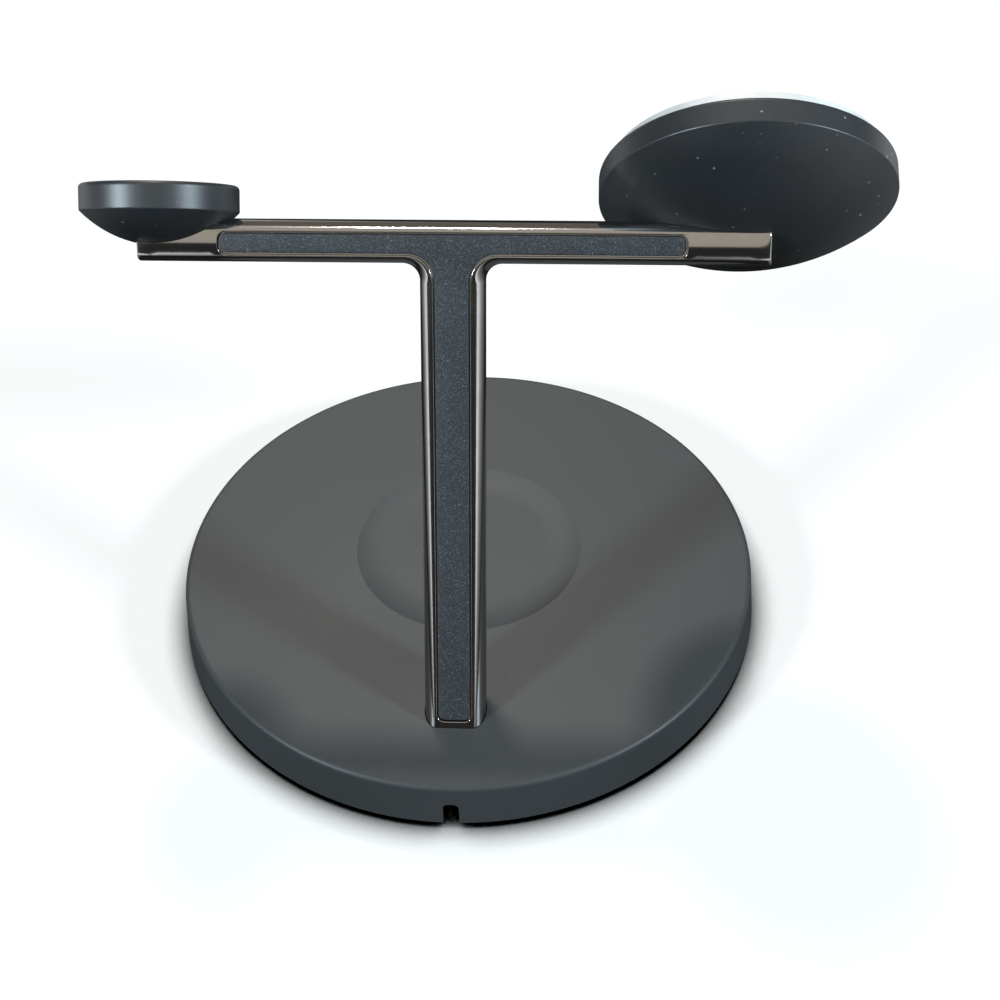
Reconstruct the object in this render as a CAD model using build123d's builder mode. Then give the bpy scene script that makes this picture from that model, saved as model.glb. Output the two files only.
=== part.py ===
from build123d import *
import os
from math import cos, radians, sin, sqrt, tan

# A stand that charges a phone, a watch and an earbud case. A round weighted base with a shallow
# earbud dish carries a chrome T frame that leans forward. A domed phone pad sits on one arm and a
# domed watch pad on the other. Millimetres, Z up, front towards -Y. The origin is the centre of
# the base on the surface that it stands on.

# Fits shared by several pieces
part_gap = 0.15
seat_gap = 0.1
screw_slack = 0.1

# Base housing
base_dia = 138.8
base_side_height = 11.0
base_side_taper = 5.7
base_edge_round = 1.2
skirt_wall = 2.0
top_wall = 2.2
dish_dia = 54.8
dish_depth = 0.9
dish_edge_width = 9.0
dish_ahead = 50.1
cable_slot_width = 3.6
cable_slot_height = 5.8
cable_slot_round = 1.4
indicator_dia = 2.2
indicator_length = 2.6

# Base cover, foot and weight
foot_inset = 6.4
foot_height = 2.0
foot_edge_round = 0.5
cover_thickness = 2.0
weight_inset = 4.4
weight_thickness = 3.0
weight_top_gap = 0.8
weight_post_dia = 4.4
weight_post_inset = 17.0
weight_post_angles = (-155, -110, -65, -20, 10, 160)
rear_post_ahead = 1.4

# Cover screws and their bosses
cover_screw_inset = 11.4
cover_screw_count = 4
cover_screw_start = 25.0
cover_screw_dia = 2.6
cover_screw_length = 6.5
cover_head_dia = 4.8
cover_head_height = 1.2
cover_boss_dia = 6.5

# Power inlet, its plug recess and the groove that leads the cable to the rear slot
inlet_side = 19.0
inlet_width = 9.0
inlet_length = 8.5
inlet_height = 3.3
inlet_wall = 0.4
inlet_tongue = 0.7
inlet_gap = 0.27
recess_width = 14.0
recess_length = 23.7
recess_wall = 1.2
groove_width = 4.4
groove_turn_inset = 10.4
groove_bend = 6.0

# Circuit board in the base and the connector that meets the two leads
board_thickness = 1.2
board_standoff = 0.4
board_post_dia = 4.0
board_left = -31.0
board_band_ahead = 8.4
board_band_width = 11.0
board_step_left = -1.0
board_ring_gap = 2.7
board_tab_margin = 2.0
board_tail_margin = 2.5
chip_size = 5.0
chip_height = 1.4
inductor_size = 7.0
inductor_height = 3.2
component_gap = 1.5
connector_width = 7.0
connector_length = 3.6

# Earbud coil stack
earbud_coil_dia = 42.0
earbud_coil_bore = 18.0
earbud_coil_thickness = 1.2
earbud_shield_margin = 1.5
earbud_shield_thickness = 0.8
coil_tray_margin = 0.5
coil_tray_thickness = 1.6
tray_ring_inset = 4.0
tray_ring_wall = 2.0
coil_bay_margin = 7.0

# T frame, leaning forward from the rear of the base
stand_lean = 28.1
column_inset = 23.0
column_width = 13.65
frame_depth = 10.0
column_side_round = 2.9
bar_rise = 103.2
bar_length = 129.6
bar_height = 8.65
bar_edge_round = 1.925
bar_end_round = 0.9
bar_end_corner = 0.7
inner_corner_round = 3.5
round_steps = 6

# Inlay strip in the back of the frame
inlay_lip = 0.205
inlay_end_inset = 17.4
inlay_thickness = 1.2
inlay_sink = 0.15
inlay_gap = 0.12
inlay_corner_round = 1.4
inlay_inner_round = 5.6
inlay_foot = -1.1

# Leads from the base to the pads, in a channel under the inlay
lead_dia = 1.8
lead_offset = 1.2
lead_room = 1.3
lead_bend = 3.0
lead_turn_inset = 1.4
lead_slope = 35.0
lead_hole_gap = 0.3
lead_reach = 0.5

# Foot screws of the frame
foot_screw_dia = 3.0
foot_screw_wall = 0.4
foot_screw_ahead = 1.2
foot_screw_grip = 7.0
foot_head_dia = 5.2
foot_head_height = 1.6

# Pads
pad_screw_dia = 2.5
pad_screw_pitch = 5.5
pad_screw_grip = 2.0
pad_head_dia = 4.4
pad_head_height = 1.3
pad_boss_dia = 5.2
pad_boss_height = 1.7
pad_rim_round = 0.9
pad_dome_round = 0.3
pad_ledge = 0.3
pad_ledge_width = 2.2
cup_wall = 1.1
cup_floor = 0.9
cup_hole_dia = 5.0

phone_cup_dia = 56.4
phone_rim_wall = 2.15
phone_rim = 5.3
phone_dome = 10.65
phone_wall = 2.0
phone_tilt = 27.5
phone_end_inset = 4.8
phone_seat_depth = 0.65
phone_cup_proud = 2.4
phone_face_proud = 0.6
phone_face_round = 0.5
phone_board_thickness = 1.2
phone_shield_thickness = 1.0
phone_coil_margin = 1.0
phone_coil_bore = 20.0
phone_coil_thickness = 1.6
magnet_width = 3.6
magnet_room = 1.2
magnet_count = 18
magnet_gap = 0.8

watch_cup_dia = 28.8
watch_rim_wall = 1.85
watch_rim = 5.4
watch_dome = 6.95
watch_wall = 1.8
watch_tilt = 36.8
watch_end_inset = 4.3
watch_seat_depth = 1.35
watch_cup_drop = 0.3
watch_face_hollow = 1.0
watch_face_edge = 0.4
watch_shield_margin = 1.15
watch_shield_thickness = 0.6
watch_coil_margin = 0.5
watch_coil_bore = 10.0
watch_coil_thickness = 1.2
watch_magnet_room = 1.0

# Levels in the base
skirt_bottom = foot_height
base_top = foot_height + base_side_height
top_underside = base_top - top_wall
cover_top = skirt_bottom + cover_thickness
weight_top = top_underside - weight_top_gap
weight_bottom = weight_top - weight_thickness
board_bottom = cover_top + board_standoff
board_top = board_bottom + board_thickness
coil_bottom = top_underside - earbud_coil_thickness
shield_bottom = coil_bottom - earbud_shield_thickness
tray_bottom = shield_bottom - coil_tray_thickness

# Places in the base, counted from the column in front of its rear rim
base_radius = base_dia / 2
side_slope = tan(radians(base_side_taper))
skirt_inside = base_radius - skirt_wall
cover_radius = skirt_inside - cover_thickness * side_slope - part_gap
groove_reach = skirt_inside - (weight_bottom - skirt_bottom) * side_slope - part_gap
foot_radius = base_radius - foot_inset
weight_radius = skirt_inside - weight_inset
weight_post_ring = weight_radius - weight_post_inset
column_back = base_radius - column_inset
dish_center = (0, column_back - dish_ahead)
earbud_shield_dia = earbud_coil_dia + 2 * earbud_shield_margin
coil_tray_dia = earbud_shield_dia + 2 * coil_tray_margin
tray_ring_dia = coil_tray_dia - 2 * tray_ring_inset
coil_bay_dia = coil_tray_dia + 2 * coil_bay_margin

# Power inlet behind the coil tray, plug recess and cable groove, in plan
inlet_left = inlet_side - inlet_width / 2
inlet_back = dish_center[1] + sqrt((coil_tray_dia / 2 + inlet_gap) ** 2 - inlet_left**2)
inlet_face = inlet_back + inlet_length
recess_right = inlet_side + recess_width / 2
recess_front = inlet_face + part_gap
recess_back = recess_front + recess_length
recess_center = (inlet_side, (recess_front + recess_back) / 2)
groove_points = [
    (inlet_side + groove_width / 2, recess_back - groove_width / 2),
    (0, base_radius - groove_turn_inset),
    (0, base_dia),
]

# Planes of the frame. Seen from behind, local X runs to the right, local Y up the column and
# local Z out of the back face.
lean = radians(stand_lean)
stand_plane = Plane(
    origin=(0, column_back, base_top), x_dir=(-1, 0, 0), z_dir=(0, cos(lean), sin(lean))
)
foot_bottom = (weight_top - base_top) / cos(lean) - frame_depth * tan(lean)
inlay_edge = inlay_gap + inlay_lip
inlay_column_width = column_width - 2 * (column_side_round + inlay_edge)
inlay_bar_height = bar_height - 2 * (bar_edge_round + inlay_edge)
inlay_length = bar_length - 2 * inlay_end_inset
inlay_top = frame_depth / 2 - inlay_sink
inlay_bottom = inlay_top - inlay_thickness

# Leads under the inlay, the connector below them and the screws beside them
lead_turn = inlay_length / 2 - lead_turn_inset
lead_depth = inlay_bottom - part_gap - lead_room
lead_plane = stand_plane.offset(lead_depth)
lead_foot = stand_plane.from_local_coords((0, 0, lead_depth))
lead_end_lift = lead_dia / 2 * sin(lean) + part_gap
lead_start = (weight_top + lead_end_lift - lead_foot.Z) / cos(lean)
connector_back = lead_foot.Y - lead_start * sin(lean)
foot_screw_offset = lead_offset + lead_room + foot_screw_dia / 2 + foot_screw_wall
foot_screw_back = column_back - foot_screw_ahead

# Outline of the circuit board, in plan
board_band_back = column_back - board_band_ahead
board_band_front = board_band_back - board_band_width
board_band_middle = (board_band_front + board_band_back) / 2
board_step_front = dish_center[1] + tray_ring_dia / 2 + board_ring_gap
board_tab_left = inlet_left - board_tab_margin
board_tab_front = inlet_back - component_gap
board_inner_right = inlet_side - recess_width / 2 - recess_wall - part_gap
board_tail_left = -connector_width / 2 - board_tail_margin
board_tail_right = connector_width / 2 + 2 * part_gap
board_tail_back = connector_back + connector_length / 2 + seat_gap
rear_post_offset = weight_post_dia / 2 + 2 * part_gap - board_tail_left
inductor_side = board_left + inductor_size
chip_side = inductor_side + inductor_size / 2 + component_gap + chip_size / 2

# Sizes across the pads
phone_dia = phone_cup_dia + 2 * phone_rim_wall
phone_cup_inside = phone_cup_dia - 2 * (part_gap + cup_wall)
phone_face_dia = phone_cup_inside - 2 * part_gap
magnet_ring_inside = phone_face_dia - 2 * magnet_width
phone_shield_dia = magnet_ring_inside - 2 * magnet_room
phone_coil_dia = phone_shield_dia - 2 * phone_coil_margin
watch_dia = watch_cup_dia + 2 * watch_rim_wall
watch_cup_inside = watch_cup_dia - 2 * (part_gap + cup_wall)
watch_face_dia = watch_cup_inside - 2 * part_gap
watch_shield_dia = watch_cup_inside - 2 * watch_shield_margin
watch_coil_dia = watch_shield_dia - 2 * watch_coil_margin
watch_magnet_dia = watch_coil_bore - 2 * watch_magnet_room

# Pads sit with their domes in the ends of the bar. Each plane lies where the rim meets the dome,
# with its Z axis out of the charging face.
phone_normal = Vector(0, -cos(radians(phone_tilt)), sin(radians(phone_tilt)))
watch_normal = Vector(0, -sin(radians(watch_tilt)), cos(radians(watch_tilt)))
phone_seat = stand_plane.from_local_coords((bar_length / 2 - phone_end_inset, bar_rise, 0))
watch_seat = stand_plane.from_local_coords((watch_end_inset - bar_length / 2, bar_rise, 0))
phone_plane = Plane(
    origin=phone_seat + phone_normal * (phone_dome - phone_seat_depth),
    x_dir=(1, 0, 0),
    z_dir=phone_normal,
)
watch_plane = Plane(
    origin=watch_seat + watch_normal * (watch_dome - watch_seat_depth),
    x_dir=(-1, 0, 0),
    z_dir=watch_normal,
)


def section_plane(plane):
    # Plane through a pad's axis: local X is the radius, local Y the height above the dome
    return Plane(origin=plane.origin, x_dir=plane.x_dir, z_dir=-plane.y_dir)


def axis_of(plane):
    return Axis(plane.origin, plane.z_dir)


def cap_sphere(rim_radius, height):
    # Radius of the sphere whose cap has this rim and height
    return (rim_radius**2 + height**2) / (2 * height)


def cap_level(at_radius, sphere, center):
    # Height of a dome's surface at a radius from its axis
    return center - sqrt(sphere**2 - at_radius**2)


def ring_edges(part, radius):
    # Round edges of one radius
    circles = part.edges().filter_by(GeomType.CIRCLE)
    return circles.filter_by(lambda edge: abs(edge.radius - radius) < 0.001)


def draw_pad_shell(plane, dia, rim, dome, wall, mouth_dia):
    # Domed housing: spherical back, straight rim, an open mouth and a ledge for the cup
    radius = dia / 2
    mouth = mouth_dia / 2
    ledge = mouth - pad_ledge_width
    sphere = cap_sphere(radius, dome)
    center = sphere - dome
    inner = sphere - wall
    with BuildSketch(section_plane(plane)) as profile:
        with BuildLine():
            ThreePointArc(
                (0, -dome), (radius / 2, cap_level(radius / 2, sphere, center)), (radius, 0)
            )
            Polyline(
                (radius, 0),
                (radius, rim),
                (mouth, rim),
                (mouth, pad_ledge),
                (ledge, pad_ledge),
                (ledge, cap_level(ledge, inner, center)),
            )
            ThreePointArc(
                (ledge, cap_level(ledge, inner, center)),
                (ledge / 2, cap_level(ledge / 2, inner, center)),
                (0, wall - dome),
            )
            Line((0, wall - dome), (0, -dome))
        make_face()
    revolve(profile.sketch, axis=axis_of(plane))


def draw_pad_bosses(plane, dome, wall):
    # Flat seats for the two screw heads, joined to the dome's wall
    with BuildSketch(plane.offset(wall + pad_boss_height - dome)) as seats:
        with Locations(*pad_screw_places):
            Circle(pad_boss_dia / 2)
    extrude(seats.sketch, amount=-pad_boss_height - seat_gap)


def cut_pad_screw_holes(plane, dome, depth):
    # Screw holes from inside the dome down to a depth below its apex
    with BuildSketch(plane) as holes:
        with Locations(*pad_screw_places):
            Circle((pad_screw_dia + screw_slack) / 2)
    extrude(holes.sketch, amount=-dome - depth, mode=Mode.SUBTRACT)


def cut_lead_hole(start, end):
    # Round hole along the last run of a lead, a little past its end
    run = end - start
    with BuildSketch(Plane(origin=start, z_dir=run)) as hole:
        Circle(lead_dia / 2 + lead_hole_gap)
    extrude(hole.sketch, amount=run.length + lead_dia, mode=Mode.SUBTRACT)


def draw_dome_tool(plane, dia, dome):
    # The dome as a filled solid, grown by the seat gap, to cut its seat in the bar
    sphere = cap_sphere(dia / 2, dome) + seat_gap
    center = sphere - seat_gap - dome
    edge = sqrt(sphere**2 - center**2)
    middle = cap_level(edge / 2, sphere, center)
    with BuildSketch(section_plane(plane)) as profile:
        with BuildLine():
            ThreePointArc((0, center - sphere), (edge / 2, middle), (edge, 0))
            Polyline((edge, 0), (0, 0), (0, center - sphere))
        make_face()
    revolve(profile.sketch, axis=axis_of(plane))


def draw_cup(plane, dia, height):
    # Metal cup of a charging module, with a hole in its floor for the wires
    outer = dia / 2 - part_gap
    with BuildSketch(plane.offset(pad_ledge)) as outside:
        Circle(outer)
    extrude(outside.sketch, amount=height)
    with BuildSketch(plane.offset(pad_ledge + cup_floor)) as inside:
        Circle(outer - cup_wall)
    extrude(inside.sketch, amount=height, mode=Mode.SUBTRACT)
    with BuildSketch(plane.offset(pad_ledge)) as hole:
        Circle(cup_hole_dia / 2)
    extrude(hole.sketch, amount=height, mode=Mode.SUBTRACT)


def draw_disc(plane, level, dia, thickness, bore=0.0):
    # Disc or ring that stands on a level above a plane
    with BuildSketch(plane.offset(level)) as disc:
        Circle(dia / 2)
        if bore > 0:
            Circle(bore / 2, mode=Mode.SUBTRACT)
    extrude(disc.sketch, amount=thickness)


def draw_pan_screws(plane, shank_length):
    # Pan head screws whose heads stand on a plane and whose shanks point down from it
    with BuildSketch(plane) as shanks:
        with Locations(*pad_screw_places):
            Circle(pad_screw_dia / 2)
    extrude(shanks.sketch, amount=-shank_length)
    with BuildSketch(plane) as heads:
        with Locations(*pad_screw_places):
            Circle(pad_head_dia / 2)
    extrude(heads.sketch, amount=pad_head_height)
    with BuildSketch(plane.offset(pad_head_height)) as sockets:
        with Locations(*pad_screw_places):
            RegularPolygon(pad_screw_dia / 2, 6)
    extrude(sockets.sketch, amount=-pad_head_height / 2, mode=Mode.SUBTRACT)


def lead_route(side, plane, dia, dome, wall):
    # Corner points of a lead, up the column, along one arm and into the dome
    inner = cap_sphere(dia / 2, dome) - wall
    center = plane.origin + plane.z_dir * (inner + wall - dome)
    slope = radians(lead_slope)
    turn = lead_plane.from_local_coords((side * lead_turn, bar_rise, 0))
    ahead = lead_plane.from_local_coords(
        (side * (lead_turn + cos(slope)), bar_rise + sin(slope), 0)
    )
    direction = ahead - turn
    along = (center - turn).dot(direction)
    away = (turn + direction * along - center).length
    run = along - sqrt((inner - lead_reach) ** 2 - away**2)
    end = turn + direction * run
    return [
        lead_plane.from_local_coords((side * lead_offset, lead_start, 0)),
        lead_plane.from_local_coords((side * lead_offset, bar_rise, 0)),
        turn,
        end,
    ]


def draw_lead(route):
    # Round lead along straight runs joined by arcs
    with BuildLine() as path:
        FilletPolyline(*route, radius=lead_bend)
    with BuildSketch(Plane(origin=path.line @ 0, z_dir=path.line % 0)) as section:
        Circle(lead_dia / 2)
    sweep(section.sketch, path=path.line)


def near(value, target):
    return abs(value - target) < 0.001


def draw_tee(half_width, half_length, foot, low, high):
    # Plain T: a column from the foot up to a bar between two levels
    with BuildLine() as outline:
        Polyline(
            (-half_width, foot),
            (-half_width, low),
            (-half_length, low),
            (-half_length, high),
            (half_length, high),
            (half_length, low),
            (half_width, low),
            (half_width, foot),
            close=True,
        )
    make_face(outline.edges())


def inner_corners(sketch, half_width, low):
    # The two corners where a T's column meets its bar
    return sketch.vertices().filter_by(lambda v: near(abs(v.X), half_width) and near(v.Y, low))


def bar_corners(sketch, half_length):
    # The four corners at the ends of a T's bar
    return sketch.vertices().filter_by(lambda v: near(abs(v.X), half_length))


def draw_frame_outline(sketch, share):
    # Outline of the frame at one depth, drawn in by a share of its edge rounding
    half_column = column_width / 2 - column_side_round * share
    half_length = bar_length / 2 - bar_end_round * share
    low = bar_rise - bar_height / 2 + bar_edge_round * share
    high = bar_rise + bar_height / 2 - bar_edge_round * share
    draw_tee(half_column, half_length, foot_bottom, low, high)
    fillet(bar_corners(sketch, half_length), bar_end_corner)
    inner_round = inner_corner_round + (inlay_inner_round - inner_corner_round) * share
    fillet(inner_corners(sketch, half_column, low), inner_round)


def draw_inlay_outline(sketch, grow):
    # Outline of the inlay, grown all round by a gap for its pocket
    half_width = inlay_column_width / 2
    half_length = inlay_length / 2
    low = bar_rise - inlay_bar_height / 2
    draw_tee(half_width, half_length, inlay_foot, low, bar_rise + inlay_bar_height / 2)
    fillet(bar_corners(sketch, half_length), inlay_corner_round)
    fillet(sketch.vertices().group_by(Axis.Y)[0], inlay_corner_round)
    fillet(inner_corners(sketch, half_width, low), inlay_inner_round)
    if grow > 0:
        offset(amount=grow)


def draw_channel_outline(sketch):
    # Wire channel under the inlay, rounded where the leads turn into the arms
    half_width = lead_offset + lead_room
    low = bar_rise - lead_room
    draw_tee(half_width, lead_turn + lead_dia / 2, foot_bottom, low, bar_rise + lead_room)
    fillet(inner_corners(sketch, half_width, low), lead_bend - lead_room)


def draw_groove_plan(width):
    # Cable groove in plan, from the plug recess to past the rim
    with BuildLine() as path:
        FilletPolyline(*groove_points, radius=groove_bend)
    trace(path.line, line_width=width)


phone_route = lead_route(1, phone_plane, phone_dia, phone_dome, phone_wall)
watch_route = lead_route(-1, watch_plane, watch_dia, watch_dome, watch_wall)
cover_screw_ring = base_radius - cover_screw_inset
cover_screw_places = PolarLocations(cover_screw_ring, cover_screw_count, cover_screw_start)
weight_post_places = [
    (weight_post_ring * cos(radians(angle)), weight_post_ring * sin(radians(angle)))
    for angle in weight_post_angles
]
rear_post_back = column_back - rear_post_ahead
rear_post_places = [(-rear_post_offset, rear_post_back), (rear_post_offset, rear_post_back)]
board_tail_middle = (board_tail_left + board_tail_right) / 2
board_post_places = [
    (board_left + board_post_dia, board_band_middle),
    (board_step_left, board_band_middle),
    (inlet_side, (board_tab_front + inlet_face) / 2),
    (board_tail_middle, board_tail_back - board_post_dia),
]
foot_screw_places = [(-foot_screw_offset, foot_screw_back), (foot_screw_offset, foot_screw_back)]
pad_screw_places = [(0, 0), (pad_screw_pitch, 0)]
column_plane = Plane(origin=stand_plane.origin, x_dir=stand_plane.x_dir, z_dir=stand_plane.y_dir)
rear_plane = Plane(
    origin=(0, base_radius - 2 * skirt_wall, skirt_bottom), x_dir=(-1, 0, 0), z_dir=(0, 1, 0)
)
inlet_plane = Plane(
    origin=(inlet_side, inlet_face, board_top + inlet_height / 2), x_dir=(-1, 0, 0), z_dir=(0, 1, 0)
)
indicator_plane = Plane(
    origin=(0, side_slope * base_side_height / 2 - base_radius, skirt_bottom + base_side_height / 2),
    x_dir=(1, 0, 0),
    z_dir=(0, -1, side_slope),
).offset(-indicator_length)

# Base housing: one moulded cap with its skirt, screw bosses, earbud dish and column opening
with BuildPart() as base_top_housing:
    with BuildSketch(Plane.XZ) as side_sketch:
        with BuildLine():
            Polyline(
                (0, skirt_bottom),
                (base_radius, skirt_bottom),
                (base_radius - base_side_height * side_slope, base_top),
                (0, base_top),
                close=True,
            )
        make_face()
        fillet(side_sketch.vertices().group_by(Axis.Y)[-1].sort_by(Axis.X)[-1], base_edge_round)
    revolve(axis=Axis.Z)
    with BuildSketch(Plane.XY.offset(skirt_bottom)):
        Circle(skirt_inside)
    extrude(amount=base_side_height - top_wall, taper=base_side_taper, mode=Mode.SUBTRACT)
    with BuildSketch(Plane.XY.offset(cover_top)):
        with cover_screw_places:
            Circle(cover_boss_dia / 2)
    extrude(amount=top_underside - cover_top)
    with BuildSketch(Plane.XY.offset(cover_top)):
        with cover_screw_places:
            Circle((cover_screw_dia + screw_slack) / 2)
    extrude(amount=cover_screw_length - cover_thickness, mode=Mode.SUBTRACT)
    dish_rim = (dish_dia / 2, 0)
    dish_floor = (dish_dia / 2 - dish_edge_width, -dish_depth)
    with BuildSketch(Plane((*dish_center, base_top), x_dir=(1, 0, 0), z_dir=(0, -1, 0))):
        with BuildLine():
            TangentArc(dish_floor, dish_rim, tangent=(1, 0))
            Polyline(dish_rim, (0, 0), (0, -dish_depth), dish_floor)
        make_face()
    revolve(axis=Axis((*dish_center, base_top), (0, 0, 1)), mode=Mode.SUBTRACT)
    with BuildSketch(column_plane):
        column_flat = column_width - 2 * column_side_round
        Rectangle(column_flat, frame_depth + 2 * part_gap)
        with GridLocations(column_flat, 0, 2, 1):
            Ellipse(column_side_round + part_gap, frame_depth / 2 + part_gap)
    extrude(amount=base_side_height, both=True, mode=Mode.SUBTRACT)
    with BuildSketch(rear_plane) as slot_sketch:
        Rectangle(cable_slot_width, cable_slot_height, align=(Align.CENTER, Align.MIN))
        fillet(slot_sketch.vertices().group_by(Axis.Y)[-1], cable_slot_round)
    extrude(amount=4 * skirt_wall, mode=Mode.SUBTRACT)
    with BuildSketch(indicator_plane):
        Circle(indicator_dia / 2 + part_gap)
    extrude(amount=2 * indicator_length, mode=Mode.SUBTRACT)
base_top_housing.part.label = "base_top_housing"

# Indicator lens, pressed into the front of the skirt
with BuildPart() as indicator_lens:
    with BuildSketch(indicator_plane):
        Circle(indicator_dia / 2)
    extrude(amount=indicator_length - seat_gap)
    fillet(indicator_lens.faces().sort_by(Axis.Y)[0].edges(), seat_gap)
    with BuildSketch(indicator_plane):
        Circle(indicator_dia / 2 + skirt_wall / 2)
    extrude(amount=indicator_length - skirt_wall - part_gap)
indicator_lens.part.label = "indicator_lens"

# Bottom cover: a disc with posts for the weight and board, a ring for the coil tray, and the
# walls of the plug recess and of the cable groove
with BuildPart() as base_bottom_cover:
    with BuildSketch(Plane.XY.offset(skirt_bottom)):
        Circle(cover_radius)
    extrude(amount=cover_thickness)
    with BuildSketch(Plane.XY.offset(cover_top)):
        with Locations(*weight_post_places, *rear_post_places):
            Circle(weight_post_dia / 2)
    extrude(amount=weight_bottom - cover_top)
    with BuildSketch(Plane.XY.offset(cover_top)):
        with Locations(*board_post_places):
            Circle(board_post_dia / 2)
    extrude(amount=board_standoff)
    with BuildSketch(Plane.XY.offset(cover_top)):
        with Locations(dish_center):
            Circle(tray_ring_dia / 2)
            Circle(tray_ring_dia / 2 - tray_ring_wall, mode=Mode.SUBTRACT)
    extrude(amount=tray_bottom - cover_top)
    with BuildSketch(Plane.XY.offset(cover_top)):
        draw_groove_plan(groove_width + 2 * recess_wall)
        Circle(groove_reach, mode=Mode.INTERSECT)
    extrude(amount=weight_bottom - cover_top)
    with BuildSketch(Plane.XY.offset(cover_top)):
        with Locations((inlet_side, recess_front)):
            Rectangle(
                recess_width + 2 * recess_wall,
                recess_length + recess_wall,
                align=(Align.CENTER, Align.MIN),
            )
    extrude(amount=top_underside - part_gap - cover_top)
    with BuildSketch(Plane.XY.offset(skirt_bottom)):
        with Locations(recess_center):
            Rectangle(recess_width, recess_length)
    extrude(amount=base_side_height, mode=Mode.SUBTRACT)
    with BuildSketch(Plane.XY.offset(skirt_bottom)):
        draw_groove_plan(groove_width)
    extrude(amount=weight_bottom - skirt_bottom, mode=Mode.SUBTRACT)
    with BuildSketch(Plane.XY.offset(skirt_bottom)):
        with cover_screw_places:
            Circle((cover_screw_dia + screw_slack) / 2)
    extrude(amount=cover_thickness, mode=Mode.SUBTRACT)
    with BuildSketch(Plane.XY.offset(skirt_bottom)):
        with cover_screw_places:
            Circle(cover_head_dia / 2 + part_gap)
    extrude(amount=cover_head_height, mode=Mode.SUBTRACT)
base_bottom_cover.part.label = "base_bottom_cover"

# Rubber foot, glued under the cover
with BuildPart() as base_foot:
    with BuildSketch():
        Circle(foot_radius)
    extrude(amount=foot_height)
    fillet(base_foot.faces().sort_by(Axis.Z)[0].edges(), foot_edge_round)
    with BuildSketch():
        with Locations(recess_center):
            Rectangle(recess_width, recess_length)
        draw_groove_plan(groove_width)
    extrude(amount=foot_height, mode=Mode.SUBTRACT)
base_foot.part.label = "base_foot"

# Steel weight: a flat ring on the cover's posts that the frame's foot stands on
with BuildPart() as base_weight:
    with BuildSketch(Plane.XY.offset(weight_bottom)):
        Circle(weight_radius)
        with Locations(dish_center):
            Circle(coil_bay_dia / 2, mode=Mode.SUBTRACT)
        with Locations((inlet_side, board_tab_front - recess_wall)):
            Rectangle(
                recess_width + 4 * recess_wall,
                recess_back - board_tab_front + 4 * recess_wall,
                align=(Align.CENTER, Align.MIN),
                mode=Mode.SUBTRACT,
            )
        with Locations((board_left, board_band_middle)):
            Rectangle(
                chip_side + chip_size / 2 + component_gap - board_left,
                board_band_width,
                align=(Align.MIN, Align.CENTER),
                mode=Mode.SUBTRACT,
            )
        with Locations((0, connector_back)):
            Rectangle(
                connector_width + 2 * part_gap, connector_length + 2 * part_gap, mode=Mode.SUBTRACT
            )
        with cover_screw_places:
            Circle(cover_boss_dia / 2 + part_gap, mode=Mode.SUBTRACT)
        with Locations(*foot_screw_places):
            Circle((foot_screw_dia + screw_slack) / 2, mode=Mode.SUBTRACT)
    extrude(amount=weight_thickness)
    with Locations(*[(x, y, weight_bottom) for x, y in foot_screw_places]):
        Cone(
            (foot_head_dia + screw_slack) / 2,
            (foot_screw_dia + screw_slack) / 2,
            foot_head_height,
            align=(Align.CENTER, Align.CENTER, Align.MIN),
            mode=Mode.SUBTRACT,
        )
base_weight.part.label = "base_weight"

# Circuit board with its soldered parts, on low posts of the cover
with BuildPart() as base_circuit_board:
    with BuildSketch(Plane.XY.offset(board_bottom)):
        with BuildLine():
            Polyline(
                (board_left, board_band_front),
                (board_step_left, board_band_front),
                (board_step_left, board_step_front),
                (board_tab_left, board_step_front),
                (board_tab_left, board_tab_front),
                (recess_right, board_tab_front),
                (recess_right, inlet_face),
                (board_inner_right, inlet_face),
                (board_inner_right, board_band_back),
                (board_tail_right, board_band_back),
                (board_tail_right, board_tail_back),
                (board_tail_left, board_tail_back),
                (board_tail_left, board_band_back),
                (board_left, board_band_back),
                close=True,
            )
        make_face()
    extrude(amount=board_thickness)
    with BuildSketch(Plane.XY.offset(board_top)):
        with Locations((inductor_side, board_band_middle)):
            Rectangle(inductor_size, inductor_size)
    extrude(amount=inductor_height)
    with BuildSketch(Plane.XY.offset(board_top)):
        with Locations((chip_side, board_band_middle)):
            Rectangle(chip_size, chip_size)
        with Locations((board_step_left + chip_size, board_step_front + chip_size)):
            Rectangle(chip_size, chip_size / 2)
    extrude(amount=chip_height)
base_circuit_board.part.label = "base_circuit_board"

# Power inlet: an oval metal shell with a contact tongue, soldered to the board
with BuildPart() as power_inlet:
    with BuildSketch(inlet_plane):
        SlotOverall(inlet_width, inlet_height)
    extrude(amount=-inlet_length)
    with BuildSketch(inlet_plane):
        SlotOverall(inlet_width - 2 * inlet_wall, inlet_height - 2 * inlet_wall)
    extrude(amount=-inlet_length + inlet_wall, mode=Mode.SUBTRACT)
    with BuildSketch(inlet_plane.offset(-inlet_length)):
        Rectangle(inlet_width - inlet_height, inlet_tongue)
    extrude(amount=inlet_length - inlet_tongue)
power_inlet.part.label = "power_inlet"

# Connector on the board's tail, under the foot of the frame
with BuildPart() as stand_connector:
    with BuildSketch(Plane.XY.offset(board_top)):
        with Locations((0, connector_back)):
            Rectangle(connector_width, connector_length)
    extrude(amount=weight_top - board_top)
stand_connector.part.label = "stand_connector"

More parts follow.
